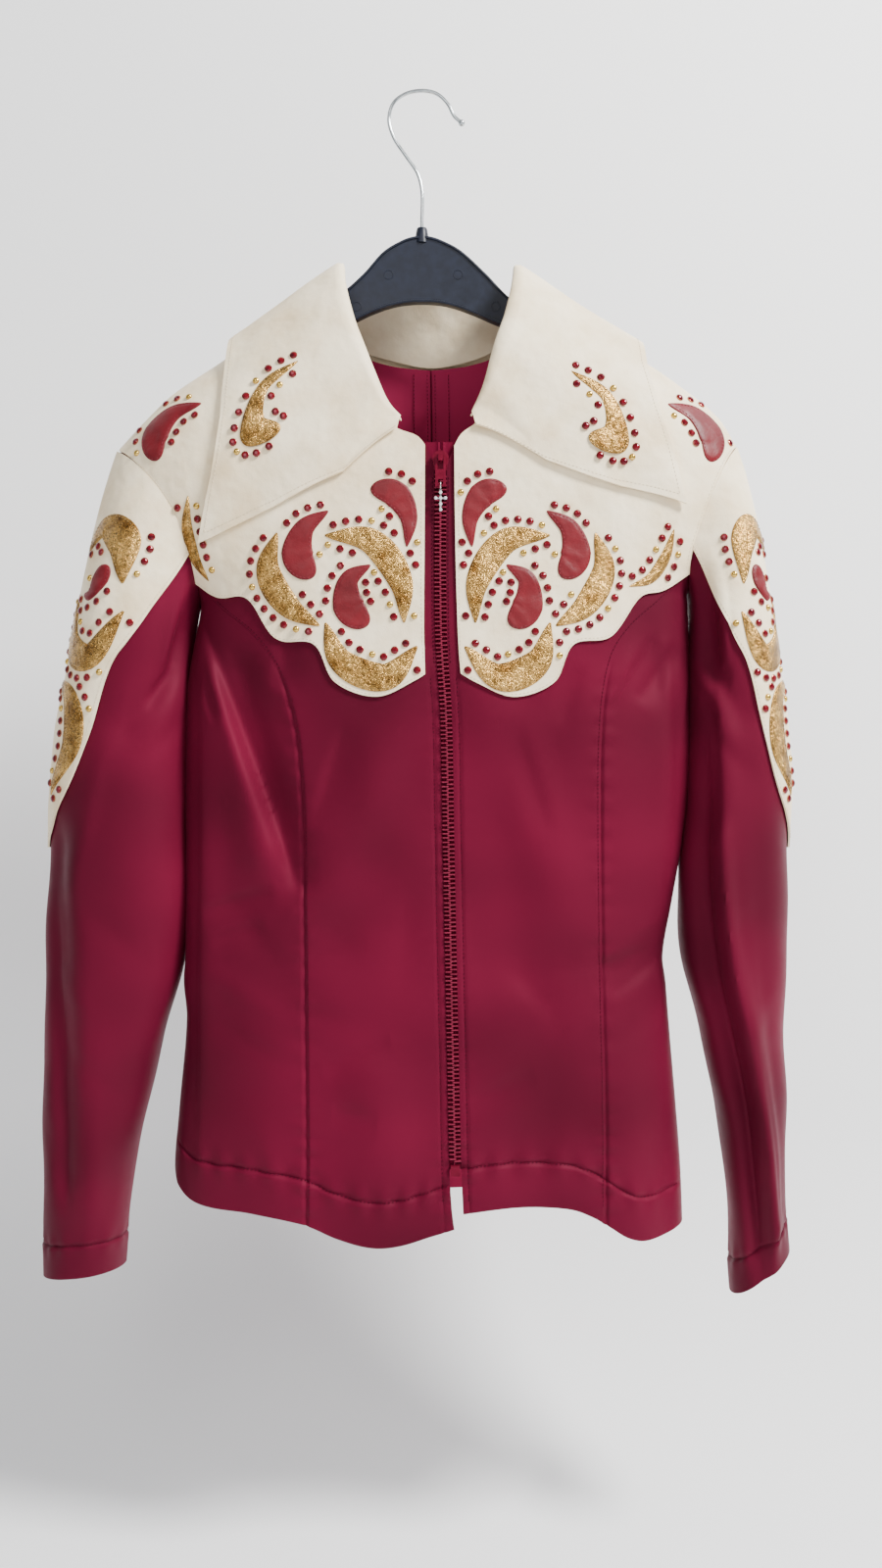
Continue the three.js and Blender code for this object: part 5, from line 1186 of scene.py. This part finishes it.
stitchRuns = {"gold": [], "red": [], "ivory": [], "burgundy": []}


# Share of the full width along a leaf: a sine, just short of its two points.
def leafProfile(t):
    return np.sin(np.pi * (0.012 + 0.976 * t)) ** 0.85


# Share of the full width along a drop: a quarter circle for its head, then a tapering tail.
def dropProfile(t):
    head = np.sqrt(np.clip(1 - (1 - t / 0.34) ** 2, 0.003, 1))
    tail = np.clip((1 - t) / 0.66, 0, 1) ** 0.75 + 0.03
    return np.where(t < 0.34, head, tail)


profiles = {"leaf": leafProfile, "drop": dropProfile}


# A padded band along a line: half width times the profile across, its height a flattened dome with
# turned-down edges, the cross ripples of a bent leather strip on top.
def makeMotif(name, motif, surface, scale, base):
    title, form, width, line = motif[:4]
    curve = curveThrough([(a * scale, z) for a, z in line])
    t = (1 - np.cos(np.linspace(0, 1, applique["along"]) * np.pi)) / 2
    centre, step = curve(t), 0.01
    ahead = curve(np.minimum(1, t + step)) - curve(np.maximum(0, t - step))
    ahead /= np.linalg.norm(ahead, axis=1, keepdims=True)
    sideways = np.stack([-ahead[:, 1], ahead[:, 0]], -1)
    half = width / 2 * profiles[form](t)
    s = np.sin(np.linspace(-1, 1, applique["across"] + 1) * np.pi / 2)
    flat = centre[:, None] + sideways[:, None] * (half[:, None] * s[None])[..., None]
    edge = np.minimum((1 - np.abs(s))[None] * half[:, None], 3.0)
    dome = np.sqrt(np.clip(1 - (1 - edge / 3.0) ** 2, 0, 1))
    ends = np.clip(np.minimum(t, 1 - t) * 22, 0, 1) ** 0.5
    ripple = 0.18 * np.sin(centre[:, 0] / 1.9 + centre[:, 1] / 2.3)[:, None] * dome
    groove = 0.35 * np.exp(-((edge - applique["stitchIn"]) / 0.5) ** 2)
    high = 0.25 + (applique["thick"] * dome + ripple) * ends[:, None] - groove * ends[:, None]
    p, n = surface(flat[..., 0] / scale, flat[..., 1])
    top = p + n * (base + high)[..., None]
    low = p + n * base
    rowsCount, cols = top.shape[:2]
    quads, kind = twoLayers(rowsCount, cols)
    kind[(rowsCount - 1) * (cols - 1):] = 1  # the rims have the underside's colour
    gold = title.startswith(("gold", "collar"))
    piece = makePiece(f"{title}_{name}_leather", np.vstack([top.reshape(-1, 3), low.reshape(-1, 3)]), quads,
                      [goldFoil, goldEdge] if gold else [redLeather, redLeather], kind, sharp=70)
    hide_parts(f"{title}_{name}")
    for sign in (-1, 1):
        inset = np.clip(half - applique["stitchIn"], 0.2, None) * sign
        run = centre + sideways * inset[:, None]
        q, m = surface(run[:, 0] / scale, run[:, 1])
        q = q + m * (base + 0.25 + applique["thick"] * 0.78)
        wide = half > 2.2
        stitchRuns["gold" if gold else "red"].append((q[wide], m[wide]))


# Place and normal on a yoke, from the distance to the zip and the height.
def yokeSurface(name):
    squeeze = 1 if name == "left" else applique["rightSqueeze"]

    def read(d, z):
        x = zipX(z) + outward[name] * d * squeeze
        return bodyPoint(x, z, "front"), bodyNormal(x, z, "front")

    return read


# Place and normal on a sleeve cap, from millimetres round it and the height.
def capSurface(name):
    def read(around, z):
        return sleeveSurface(name, around / applique["sleeveScale"], z)

    return read


# Place and normal on a collar point, mirrored for the right side.
def collarSurface(name):
    def read(x, w):
        x = x if name == "left" else 2 * collar["middle"] - x
        over = overRidge(w)
        out = collar["clearance"] + collar["thick"] / 2 + 0.7
        return collarPoint(x, over, np.full(x.shape, out)), collarFrame(x, over)[1]

    return read


for name in sides:
    for motif in yokeMotifs:
        line = motif[4] if name == "right" and motif[4] else motif[3]
        makeMotif(name, (*motif[:3], line), yokeSurface(name), 1.0, yokeBase)
    for motif in sleeveMotifs:
        makeMotif(name, motif, partial(sleeveSurface, name), applique["sleeveScale"], capBase)
    makeMotif(name, collarMotif, collarSurface(name), 1.0, 0.0)
print("applique made")

# Turned forms: (radius, height) rows and the number of sides.
stoneShape = turned([(2.35, 0.1), (2.3, 0.8), (1.6, 1.4), (0.95, 1.65)], 12)
rimShape = turned([(2.45, -0.4), (2.7, 0.1), (2.65, 0.55), (2.45, 0.7), (2.3, 0.45)], 10)
studShape = turned([(2.25, -0.4), (2.2, 0.35), (1.9, 0.95), (1.3, 1.4), (0.6, 1.62)], 14)

# Stones follow the motifs in rows a little outside their edges. A stone is left out where it would
# touch another stone, lie on leather applique, or come near the edge of what carries it.
rowsOfStones = {"outside": 4.6, "pitch": 8.6, "apart": 6.4, "clear": 3.1, "edgeRoom": 4.2, "raise": 0.3,
                "brassEvery": 5}


# True for points inside a closed outline: an odd count of edges lies to their right.
def insideOutline(points, outline):
    a, b = outline, np.roll(outline, -1, 0)
    px, pz = points[:, 0:1], points[:, 1:2]
    crosses = (a[None, :, 1] > pz) != (b[None, :, 1] > pz)
    rise = np.where(b[:, 1] == a[:, 1], 1e-9, b[:, 1] - a[:, 1])
    at = a[None, :, 0] + (pz - a[None, :, 1]) * (b[:, 0] - a[:, 0])[None] / rise[None]
    return (crosses & (px < at)).sum(1) % 2 == 1


# Distance from each point to the nearest point of a line.
def distanceTo(points, line):
    return np.linalg.norm(points[:, None] - line[None], axis=-1).min(1)


# Rows for a set of motifs, each (form, width, line), inside an outline in the same flat millimetres.
def stoneRows(motifs, outline):
    bands = []
    for form, width, line in motifs:
        t = np.linspace(0, 1, 80)
        centre = curveThrough(line)(t)
        bands.append((centre, width / 2 * profiles[form](t)))
    tried = []
    for centre, half in bands:
        ahead = np.gradient(centre, axis=0)
        ahead /= np.linalg.norm(ahead, axis=1, keepdims=True)
        sideways = np.stack([-ahead[:, 1], ahead[:, 0]], -1)
        for sign in (1, -1):
            line = centre + sideways * ((half + rowsOfStones["outside"]) * sign)[:, None]
            length = np.concatenate([[0], np.cumsum(np.linalg.norm(np.diff(line, axis=0), axis=1))])
            at = np.arange(rowsOfStones["pitch"] / 2, length[-1], rowsOfStones["pitch"])
            tried.append(np.stack([np.interp(at, length, line[:, k]) for k in (0, 1)], -1))
    points = np.vstack(tried)
    keep = insideOutline(points, outline) & (distanceTo(points, outline) > rowsOfStones["edgeRoom"])
    for centre, half in bands:
        away = np.linalg.norm(points[:, None] - centre[None], axis=-1) - half[None]
        keep &= away.min(1) > rowsOfStones["clear"]
    chosen = []
    for point in points[keep]:
        if all(np.hypot(*(point - other)) > rowsOfStones["apart"] for other in chosen):
            chosen.append(point)
    return np.array(chosen)


# A closed outline with 24 even steps to each side.
def fineOutline(corners):
    corners = np.asarray(corners, float)
    steps = np.linspace(0, 1, 24, endpoint=False)[None, :, None]
    return (corners[:, None] + (np.roll(corners, -1, 0) - corners)[:, None] * steps).reshape(-1, 2)


stones, studs = [], []


# One place in five becomes a brass stud, the others stones.
def shareOut(flat, surface, base):
    p, n = surface(flat[:, 0], flat[:, 1])
    p = p + n * (base + rowsOfStones["raise"])
    brass = np.arange(len(flat)) % rowsOfStones["brassEvery"] == 3
    studs.append((p[brass], n[brass]))
    stones.append((p[~brass], n[~brass]))


for name in sides:
    out = outward[name]
    squeeze = 1 if name == "left" else applique["rightSqueeze"]
    flat = frontFlats[name]
    rim = np.vstack([flat[0], flat[1:, -1], flat[-1, ::-1][1:], flat[::-1, 0][1:-1]])
    rim = np.stack([(rim[:, 0] - zipX(rim[:, 1])) * out / squeeze, rim[:, 1]], -1)
    motifs = [(m[1], m[2], m[4] if name == "right" and m[4] else m[3]) for m in yokeMotifs]
    shareOut(stoneRows(motifs, rim), yokeSurface(name), yokeBase)

    scale = applique["sleeveScale"]
    heights = np.linspace(-262, -518, 60)
    spread = np.minimum(capSpread(heights), 104)
    rim = np.vstack([np.column_stack([spread * scale, heights]),
                     np.column_stack([-spread * scale, heights])[::-1]])
    top = armholePoint(name, np.radians(rim[:, 0] / scale))[:, 2] - 2
    rim[:, 1] = np.minimum(rim[:, 1], top)
    motifs = [(m[1], m[2], [(a * scale, z) for a, z in m[3]]) for m in sleeveMotifs]
    shareOut(stoneRows(motifs, fineOutline(rim)), capSurface(name), capBase)

    pick = slice(0, 9) if name == "left" else slice(12, 21)
    ring = np.array(collarStations["edge"][pick] + collarStations["fold"][pick][::-1], float)
    if name == "right":
        ring[:, 0] = 2 * collar["middle"] - ring[:, 0]
    shareOut(stoneRows([collarMotif[1:4]], fineOutline(ring)), collarSurface(name), 0.0)


# Three axes square to each other from each normal.
def framesFrom(normals):
    axisX = np.cross(normals, [0.13, 0.2, 1.0])
    axisX /= np.linalg.norm(axisX, axis=1, keepdims=True)
    return axisX, np.cross(normals, axisX), normals


# One joined piece of all copies of a form.
def scatterSet(title, form, rowsOf, material, flatShaded=False):
    places, normals = np.vstack([p for p, _ in rowsOf]), np.vstack([n for _, n in rowsOf])
    points, quads = scatter(*form, places, *framesFrom(normals))
    piece = makePiece(title, points, quads, material, flatShaded=flatShaded)


scatterSet("redStones", stoneShape, stones, stoneRed, True)
scatterSet("stoneRims", rimShape, stones, stoneRim)
scatterSet("brassStuds", studShape, studs, studBrass)
print("stones and studs placed")

# Stitches, how far each row stands off, the heights between which rows run, and how far each lies
# inside its edge.
stitch = {
    "pitch": 2.7, "length": 2.0, "thick": 0.5,
    "raise": 0.3, "hemRaise": 0.95, "cuffRaise": 0.7, "onLeather": 0.12,
    "belowYoke": (-408, -755), "underYoke": (-275, -398), "strip": (-272, -398), "cap": (-300, -515),
    "underYokeIn": 1.3, "princessIn": 2.2, "yokeIn": 1.7, "yokeFromZip": 13, "stripIn": 8.4,
    "armholeIn": (2.4, 0.8), "capIn": 2.6,
}


# One stitch: a four-sided bar with pointed ends, its length along x.
def stitchForm():
    half, r = stitch["length"] / 2, stitch["thick"] / 2
    ring = np.array([(0, r), (r, 0), (0, -r), (-r, 0)])
    rowsOf = [np.column_stack([np.full(4, x), ring]) for x in (-half * 0.6, half * 0.6)]
    points = np.vstack([*rowsOf, [[-half, 0, 0]], [[half, 0, 0]]])
    k = np.arange(4)
    nextK = (k + 1) % 4
    barrel = np.stack([k, nextK, nextK + 4, k + 4], -1)
    ends = [np.stack([nextK, k, np.full(4, 8), np.full(4, 8)], -1),
            np.stack([k + 4, nextK + 4, np.full(4, 9), np.full(4, 9)], -1)]
    return points, np.vstack([barrel, *ends])


# Rows of values read at distances along a line, straight between its points.
def readAlong(at, length, values):
    return np.stack([np.interp(at, length, column) for column in values.T], -1)


# Places along a line at equal steps of its length, with its direction and normal there.
def alongLine(points, normals, pitch):
    length = np.concatenate([[0], np.cumsum(np.linalg.norm(np.diff(points, axis=0), axis=1))])
    at = np.arange(pitch / 2, length[-1], pitch)
    p, n = readAlong(at, length, points), readAlong(at, length, normals)
    ahead = (readAlong(np.minimum(at + 0.7, length[-1]), length, points)
             - readAlong(np.maximum(at - 0.7, 0), length, points))
    ahead /= np.maximum(np.linalg.norm(ahead, axis=1, keepdims=True), 1e-9)
    n -= ahead * (n * ahead).sum(1, keepdims=True)
    n /= np.maximum(np.linalg.norm(n, axis=1, keepdims=True), 1e-9)
    return p, ahead, np.cross(n, ahead), n


# One joined piece of all the stitches in a set of runs.
def sewRuns(title, runs, material):
    rowsOf = [alongLine(p, n, stitch["pitch"]) for p, n in runs if len(p) > 2]
    places, ahead, sideways, up = (np.vstack([r[i] for r in rowsOf]) for i in range(4))
    points, quads = scatter(*stitchForm(), places, ahead, sideways, up)
    piece = makePiece(title, points, quads, material, sharp=180)


# A line on the garment, moved out, with its normals.
def bodyRun(x, z, face, out):
    n = bodyNormal(x, z, face)
    return bodyPoint(x, z, face) + n * out, n


# Rows on satin: beside the zip below and under the yoke, beside the princess seam, and at the hems and
# the cuff.
def sewSatin(name):
    out, runs = outward[name], stitchRuns["burgundy"]
    z = np.linspace(*stitch["belowYoke"], 260)
    runs.append(bodyRun(zipEdge(name, z) + out * sewing["edgeStitch"], z, "front", stitch["raise"]))
    z = np.linspace(*stitch["underYoke"], 100)
    runs.append(bodyRun(zipEdge(name, z) + out * stitch["underYokeIn"], z, "front", stitch["raise"]))
    seam = curveThrough([tuple(curveThrough(armholes[name])(princessStart)), *princessSeams[name]])
    line = seam(np.linspace(0.04, 0.985, 300))
    runs.append(bodyRun(line[:, 0] - out * stitch["princessIn"], line[:, 1], "front", stitch["raise"]))
    ends = sorted([frontHems[name][0][0] - out * 6, frontHems[name][-1][0] + out * 3])
    x = np.linspace(ends[0], ends[1], 220)
    runs.append(bodyRun(x, hemLine[name](x) + sewing["hemDepth"], "front", stitch["hemRaise"]))
    ends = sorted([backHems[name][0][0] - out * 6, backMiddle["bottomX"] + out])
    x = np.linspace(ends[0], ends[1], 220)
    runs.append(bodyRun(x, backHemLine[name](x) + sewing["hemDepth"], "back", stitch["hemRaise"]))
    p, n = sleeveSurface(name, np.linspace(0, 359, 180), np.full(180, cuffZ + sleeve["cuffDepth"]))
    runs.append((p + n * stitch["cuffRaise"], n))


# Rows on leather: inside the yoke's lower edge, its strip beside the zip, its armhole and the cap.
def sewLeather(name):
    out, runs, raiseBy = outward[name], stitchRuns["ivory"], yokeBase + stitch["onLeather"]
    line = frontEdges(name)["yoke"](np.linspace(0.01, 0.985, 260))
    line = line[np.abs(line[:, 0] - zipX(line[:, 1])) > stitch["yokeFromZip"]]
    runs.append(bodyRun(line[:, 0], line[:, 1] + stitch["yokeIn"], "front", raiseBy))
    z = np.linspace(*stitch["strip"], 90)
    runs.append(bodyRun(zipEdge(name, z) + out * stitch["stripIn"], z, "front", raiseBy))
    flat = curveThrough(armholes[name])(np.linspace(0.04, 0.86, 160))
    inX, inZ = stitch["armholeIn"]
    runs.append(bodyRun(flat[:, 0] - out * inX, flat[:, 1] - inZ, "front", raiseBy))
    heights = np.linspace(*stitch["cap"], 160)
    for sign in (-1, 1):
        p, n = sleeveSurface(name, sign * (capSpread(heights) - stitch["capIn"]), heights)
        runs.append((p + n * (capBase + stitch["onLeather"]), n))


for name in sides:
    sewSatin(name)
    sewLeather(name)
edgeRow = collarGrid.shape[1] - 3
edgeNormals = collarNormals[:, edgeRow]
edgeRaise = collar["thick"] / 2 + stitch["onLeather"]
stitchRuns["ivory"].append((collarGrid[:, edgeRow] + edgeNormals * edgeRaise, edgeNormals))
sewRuns("goldStitches", stitchRuns["gold"], goldThread)
sewRuns("redStitches", stitchRuns["red"], redThread)
sewRuns("ivoryStitches", stitchRuns["ivory"], ivoryThread)
sewRuns("burgundyStitches", stitchRuns["burgundy"], burgundyThread)
print("sewing done")

# The centre-back seam's allowances, pressed open inside the backs.
allowance = {"from": 0.4, "to": 12.5, "columns": 7, "rows": 150, "top": -184, "bottom": -760,
             "inside": 1.35, "wave": 0.5, "thick": 0.6, "stitchRaise": 0.7}
allowanceRuns = []
for name in sides:
    out = outward[name]
    z = np.linspace(allowance["top"], allowance["bottom"], allowance["rows"])[:, None]
    x = backSeamX(z) + out * np.linspace(allowance["from"], allowance["to"], allowance["columns"])[None]
    x, flatZ = np.broadcast_arrays(x, z)
    n = bodyNormal(x, flatZ, "back")
    curl = np.linspace(0, 1, allowance["columns"])[None] ** 2
    inside = allowance["inside"] + allowance["wave"] * np.sin(z / 13 + out) * curl
    grid = bodyPoint(x, flatZ, "back") - n * inside[..., None]
    points, quads, kind = wallMesh(grid, -n, allowance["thick"], 0.0)
    turn = makePiece(f"seamAllowance_{name}", points, quads, [satinInside, satinInside], kind)
    for column in (1, -1):
        edgeNormals = -n[:, column]
        allowanceRuns.append((grid[:, column] + edgeNormals * allowance["stitchRaise"], edgeNormals))
sewRuns("allowanceStitches", allowanceRuns, burgundyThread)

zipper = {"pitch": 2.86, "top": -274, "bottom": -728, "tapeTop": -252, "tapeBottom": -733,
          "tapeFrom": 0.5, "tapeTo": 13, "tapeInside": 1.7}


# Teeth stand square to the cloth in two rows that mesh at the middle: each is a rounded block with a
# wider head past the centre line.
def makeTeeth():
    z = np.arange(zipper["top"], zipper["bottom"], -zipper["pitch"] / 2)
    sign = np.where(np.arange(len(z)) % 2, 1.0, -1.0)
    outline = np.array([(-0.9, -0.52), (1.6, -0.42), (2.5, -0.62), (3.3, -0.62), (3.7, -0.3), (3.7, 0.3),
                        (3.3, 0.62), (2.5, 0.62), (1.6, 0.42), (-0.9, 0.52)])
    layers = []
    for width, height in ((0.9, -0.9), (1.0, -0.5), (1.0, 0.6), (0.82, 1.0)):
        layers.append(np.column_stack([outline[:, 0] * width + 1.4 * (1 - width), outline[:, 1] * width,
                                       np.full(len(outline), height)]))
    points = np.vstack([*layers, [[1.4, 0, -0.9]], [[1.4, 0, 1.0]]])
    points[:, 0] -= 3.0
    around = len(outline)
    quads = gridQuads(4, around, True)
    k = np.arange(around)
    nextK = (k + 1) % around
    low = np.stack([nextK, k, np.full(around, 4 * around), np.full(around, 4 * around)], -1)
    high = np.stack([3 * around + k, 3 * around + nextK, np.full(around, 4 * around + 1),
                     np.full(around, 4 * around + 1)], -1)
    place, normals = bodyRun(zipX(z), z, "front", 0.25)
    down = np.gradient(place, axis=0)
    down /= np.linalg.norm(down, axis=1, keepdims=True)
    acrossX = np.cross(down, normals) * sign[:, None]
    acrossX *= np.sign(acrossX[:, :1]) * -sign[:, None]
    corners, faces = scatter(points, np.vstack([quads, low, high]), place, acrossX,
                             np.cross(normals, acrossX), normals)
    chain = makePiece("zipTeeth", corners, faces, zipPlastic, sharp=35)
    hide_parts("zip_chain")


makeTeeth()
for name in sides:
    out = outward[name]
    z = np.linspace(zipper["tapeTop"], zipper["tapeBottom"], 160)[:, None]
    d = np.linspace(zipper["tapeFrom"], zipper["tapeTo"], 12)[None]
    x, flatZ = np.broadcast_arrays(zipX(z) + out * d, z)
    grid = onBody(x, flatZ, "front", np.full(x.shape, -zipper["tapeInside"]))
    normals = bodyNormal(x, flatZ, "front")
    cordEdge = 0.9 * np.exp(-((d - 1.6) / 0.9) ** 2)
    points, quads, kind = wallMesh(grid, normals, np.broadcast_to(cordEdge, x.shape), -0.5)
    tape = makePiece(f"zipTape_{name}", points, quads, zipTape, np.zeros(len(quads), int))
    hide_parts(f"zip_tape_{name}")
for node in ("zip_slider", "zip_pull", "zip_box"):
    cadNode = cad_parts[node]
    cadNode.data.materials.clear()
    cadNode.data.materials.append(sliderEnamel)

charm = {"x": 11.93, "y": -54.21, "ringZ": -282.1, "ring": 2.5, "wire": 0.45, "top": 2.4, "foot": 17,
         "armDown": 8.4, "armHalf": 3.8,
         "flare": [1.1, 0.9, 0.8, 0.75, 0.7, 0.75, 0.8, 0.9, 1.1],
         "stones": [(0, 8.4), (-3.2, 8.4), (3.2, 8.4), (0, 4.6), (0, 12.2), (0, 16)]}


# A small cross: two bars that flare at their ends, a stone at each end and at the middle, and its ring.
def makeCharm():
    x, y, z = charm["x"], charm["y"], charm["ringZ"]
    angle = np.linspace(0, 2 * np.pi, 24, endpoint=False)
    ring = np.column_stack([np.full(24, x), y + charm["ring"] * np.sin(angle),
                            z + charm["ring"] * np.cos(angle)])
    flare = np.array(charm["flare"])
    count = len(flare)
    tall = np.column_stack([np.full(count, x), np.full(count, y),
                            np.linspace(z - charm["top"], z - charm["foot"], count)])
    wide = np.column_stack([np.linspace(x - charm["armHalf"], x + charm["armHalf"], count),
                            np.full(count, y), np.full(count, z - charm["armDown"])])
    metal = joinForms([bar(ring, charm["wire"], 8, True), bar(tall, flare, 8), bar(wide, flare * 0.95, 8)])
    piece = makePiece("charmCross", *metal, charmSilver, rides="charm")
    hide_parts("zip_charm")
    places = np.array([(x + across, y - 0.6, z - down) for across, down in charm["stones"]])
    normals = np.tile([0.0, -1.0, 0.0], (len(places), 1))
    gem = turned([(1.15, 0.0), (1.1, 0.35), (0.6, 0.8)], 8)
    points, quads = scatter(*gem, places, *framesFrom(normals))
    gems = makePiece("charmStones", points, quads, charmStone, rides="charm", flatShaded=True)


makeCharm()
print("zip made")

# The blade's edge rows are (distance in from the edge, half the thickness there).
hanger = {
    "armDepth": 24, "endDepth": 13, "left": -180, "right": 184, "neckLeft": -66, "neckRight": 76,
    "belowRidge": 6.5, "edge": [(0, 3.2), (0.12, 3.8), (0.4, 4.0), (1.5, 4.0), (1.9, 3.0), (4, 2.9)],
    "socketX": -1, "socket": [(4.6, -104.5), (4.4, -99), (3.75, -95), (3.3, -94)],
    "marks": [(-46, -149), (-24, -127), (24, -127), (50, -149)], "markRadius": 3.1,
}
neckTop = [(-56, -139.5), (-41, -126), (-28, -111.5), (-15, -103.5), (-5.5, -100.5), (3.5, -100.5),
           (12, -103), (26, -110.5), (43, -126), (61, -144)]
neckBottom = [(-51, -160.5), (-35, -153), (-18, -147.5), (-1, -146), (16, -147.5), (33, -153), (57, -163)]


# The hanger's blade between its top and bottom lines: half its thickness across, full at the rims and
# less between them, rounded at both edges. The socket is turned, and each mould mark is a thin ring.
def makeHanger():
    armX = np.concatenate([np.linspace(hanger["left"], hanger["neckLeft"], 9),
                           np.linspace(hanger["neckRight"], hanger["right"], 9)])
    armTop = ridge(armX) - hanger["belowRidge"]
    endX = np.where(armX < 0, -hanger["left"], hanger["right"])
    depth = hanger["armDepth"] + (hanger["endDepth"] - hanger["armDepth"]) * np.abs(armX) / endX
    topX, topZ = np.array(neckTop, float).T
    lowX, lowZ = np.array(neckBottom, float).T
    top = smoothLine(np.concatenate([armX, topX]), np.concatenate([armTop, topZ]))
    low = smoothLine(np.concatenate([armX, lowX]), np.concatenate([armTop - depth, lowZ]))
    x = np.linspace(hanger["left"], hanger["right"], 260)
    topEdge, lowEdge = top(x)[:, None], low(x)[:, None]
    topSlope, lowSlope = (np.hypot(1, np.gradient(edge[:, 0], x))[:, None] for edge in (topEdge, lowEdge))
    inset, halfY = np.array(hanger["edge"]).T
    z = np.hstack([topEdge - inset * topSlope, lowEdge + inset[::-1] * lowSlope])
    y = np.concatenate([halfY, halfY[::-1]])
    front = np.stack([np.broadcast_to(x[:, None], z.shape), np.broadcast_to(-y, z.shape), z], -1)
    layers = np.vstack([front.reshape(-1, 3), (front * [1, -1, 1]).reshape(-1, 3)])
    blade = (layers, twoLayers(*z.shape)[0])
    socket = turned(hanger["socket"], 20)
    socket = (socket[0] + [hanger["socketX"], 0, 0], socket[1])
    angle = np.linspace(0, 2 * np.pi, 28, endpoint=False)
    ringX, ringZ = hanger["markRadius"] * np.cos(angle), hanger["markRadius"] * np.sin(angle)
    marks = [bar(np.column_stack([x0 + ringX, np.full(28, -2.95), z0 + ringZ]), 0.2, 6, True)
             for x0, z0 in hanger["marks"]]
    piece = makePiece("hangerBody", *joinForms([blade, socket, *marks]), hangerPlastic, sharp=40)
    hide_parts("hanger")


hookLine = [(-1, -103), (-1, -90), (-1, -68), (-4, -56), (-12, -44), (-20.5, -31), (-23.8, -18.5),
            (-20.5, -7), (-11.5, -0.6), (0, 1.3), (9.5, -1), (17, -8), (21.5, -16.5), (26.5, -21)]
hook = {"wire": 1.3, "ball": 2.3}


# The hook: a round wire along its line, with a ball at the free end.
def makeHook():
    flat = curveThrough(hookLine)(np.linspace(0, 1, 200))
    wire = bar(np.column_stack([flat[:, 0], np.zeros(200), flat[:, 1]]), hook["wire"], 14)
    angle = np.linspace(0.02, np.pi - 0.02, 12)
    ball = turned(np.column_stack([np.sin(angle), -np.cos(angle)]) * hook["ball"], 18)
    ball = (ball[0] + [hookLine[-1][0], 0, hookLine[-1][1]], ball[1])
    piece = makePiece("hookWire", *joinForms([wire, ball]), wireMetal, sharp=60)
    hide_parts("hook")


makeHanger()
makeHook()
print("hanger made")

# In metres: the floor and backdrop, the lamps as (name, place, target, size, watts, colour), and the
# camera.
studio = {
    "floorZ": -1.02, "frontY": -4.0, "wallY": 0.32, "wallTop": 3.0, "width": 6.0, "bend": 0.25,
    "lamps": [("keyLight", (1.2, -0.95, 0.95), (0, 0, -0.45), 0.55, 108, (1.0, 0.985, 0.955)),
              ("fillLight", (-0.6, -2.2, 0.6), (0, 0, -0.5), 1.2, 16, (1.0, 0.98, 0.96))],
    "room": (0.97, 0.98, 1.0, 1), "roomStrength": 0.5,
    "cameraAt": (0.0122, -1.085, -0.4784), "lens": 36,
}


# Floor and backdrop in one sheet: flat, then a quarter circle, then upright. It is clear from behind.
def makeStudio():
    turn = np.linspace(0, np.pi / 2, 16)
    y = np.concatenate([[studio["frontY"]], studio["wallY"] - studio["bend"] + studio["bend"] * np.sin(turn),
                        [studio["wallY"]]])
    z = np.concatenate([[0.0], studio["bend"] * (1 - np.cos(turn)), [studio["wallTop"]]]) + studio["floorZ"]
    x = np.array([-studio["width"], studio["width"]]) / 2
    grid = np.stack(np.broadcast_arrays(x[None], y[:, None], z[:, None]), -1).reshape(-1, 3)
    mesh = bpy.data.meshes.new("studioFloor")
    mesh.from_pydata(grid.tolist(), [], gridQuads(len(y), 2).tolist())
    mesh.shade_smooth()
    floor = bpy.data.objects.new("studioFloor", mesh)
    bpy.context.collection.objects.link(floor)
    material, tree, shader = newMaterial("paleFloor", Roughness=0.85)
    shader.inputs["Base Color"].default_value = linear("f1f2f4")
    behind = addNode(tree, "ShaderNodeNewGeometry").outputs["Backfacing"]
    seeThrough = addNode(tree, "ShaderNodeBsdfTransparent").outputs["BSDF"]
    oneSided = addNode(tree, "ShaderNodeMixShader", {0: behind, 1: shader.outputs["BSDF"], 2: seeThrough})
    tree.links.new(oneSided.outputs[0], tree.nodes["Material Output"].inputs["Surface"])
    mesh.materials.append(material)


# A round soft lamp turned towards its target.
def areaLight(name, place, target, size, power, colour):
    light = bpy.data.lights.new(name, "AREA")
    light.shape, light.size, light.energy, light.color = "DISK", size, power, colour
    lamp = bpy.data.objects.new(name, light)
    lamp.location = place
    lamp.rotation_euler = (Vector(target) - Vector(place)).to_track_quat("-Z", "Y").to_euler()
    bpy.context.collection.objects.link(lamp)


makeStudio()
for lamp in studio["lamps"]:
    areaLight(*lamp)
world = bpy.data.worlds.new("softRoom")
bpy.context.scene.world = world
world.use_nodes = True
background = world.node_tree.nodes["Background"]
background.inputs["Color"].default_value = studio["room"]
background.inputs["Strength"].default_value = studio["roomStrength"]

cameraData = bpy.data.cameras.new("camera")
cameraData.sensor_fit, cameraData.sensor_height, cameraData.sensor_width = "VERTICAL", 36, 36
cameraData.lens = studio["lens"]
camera = bpy.data.objects.new("camera", cameraData)
camera.location = studio["cameraAt"]
camera.rotation_euler = (radians(90), 0, 0)
bpy.context.collection.objects.link(camera)
bpy.context.scene.camera = camera

print("scene ready")
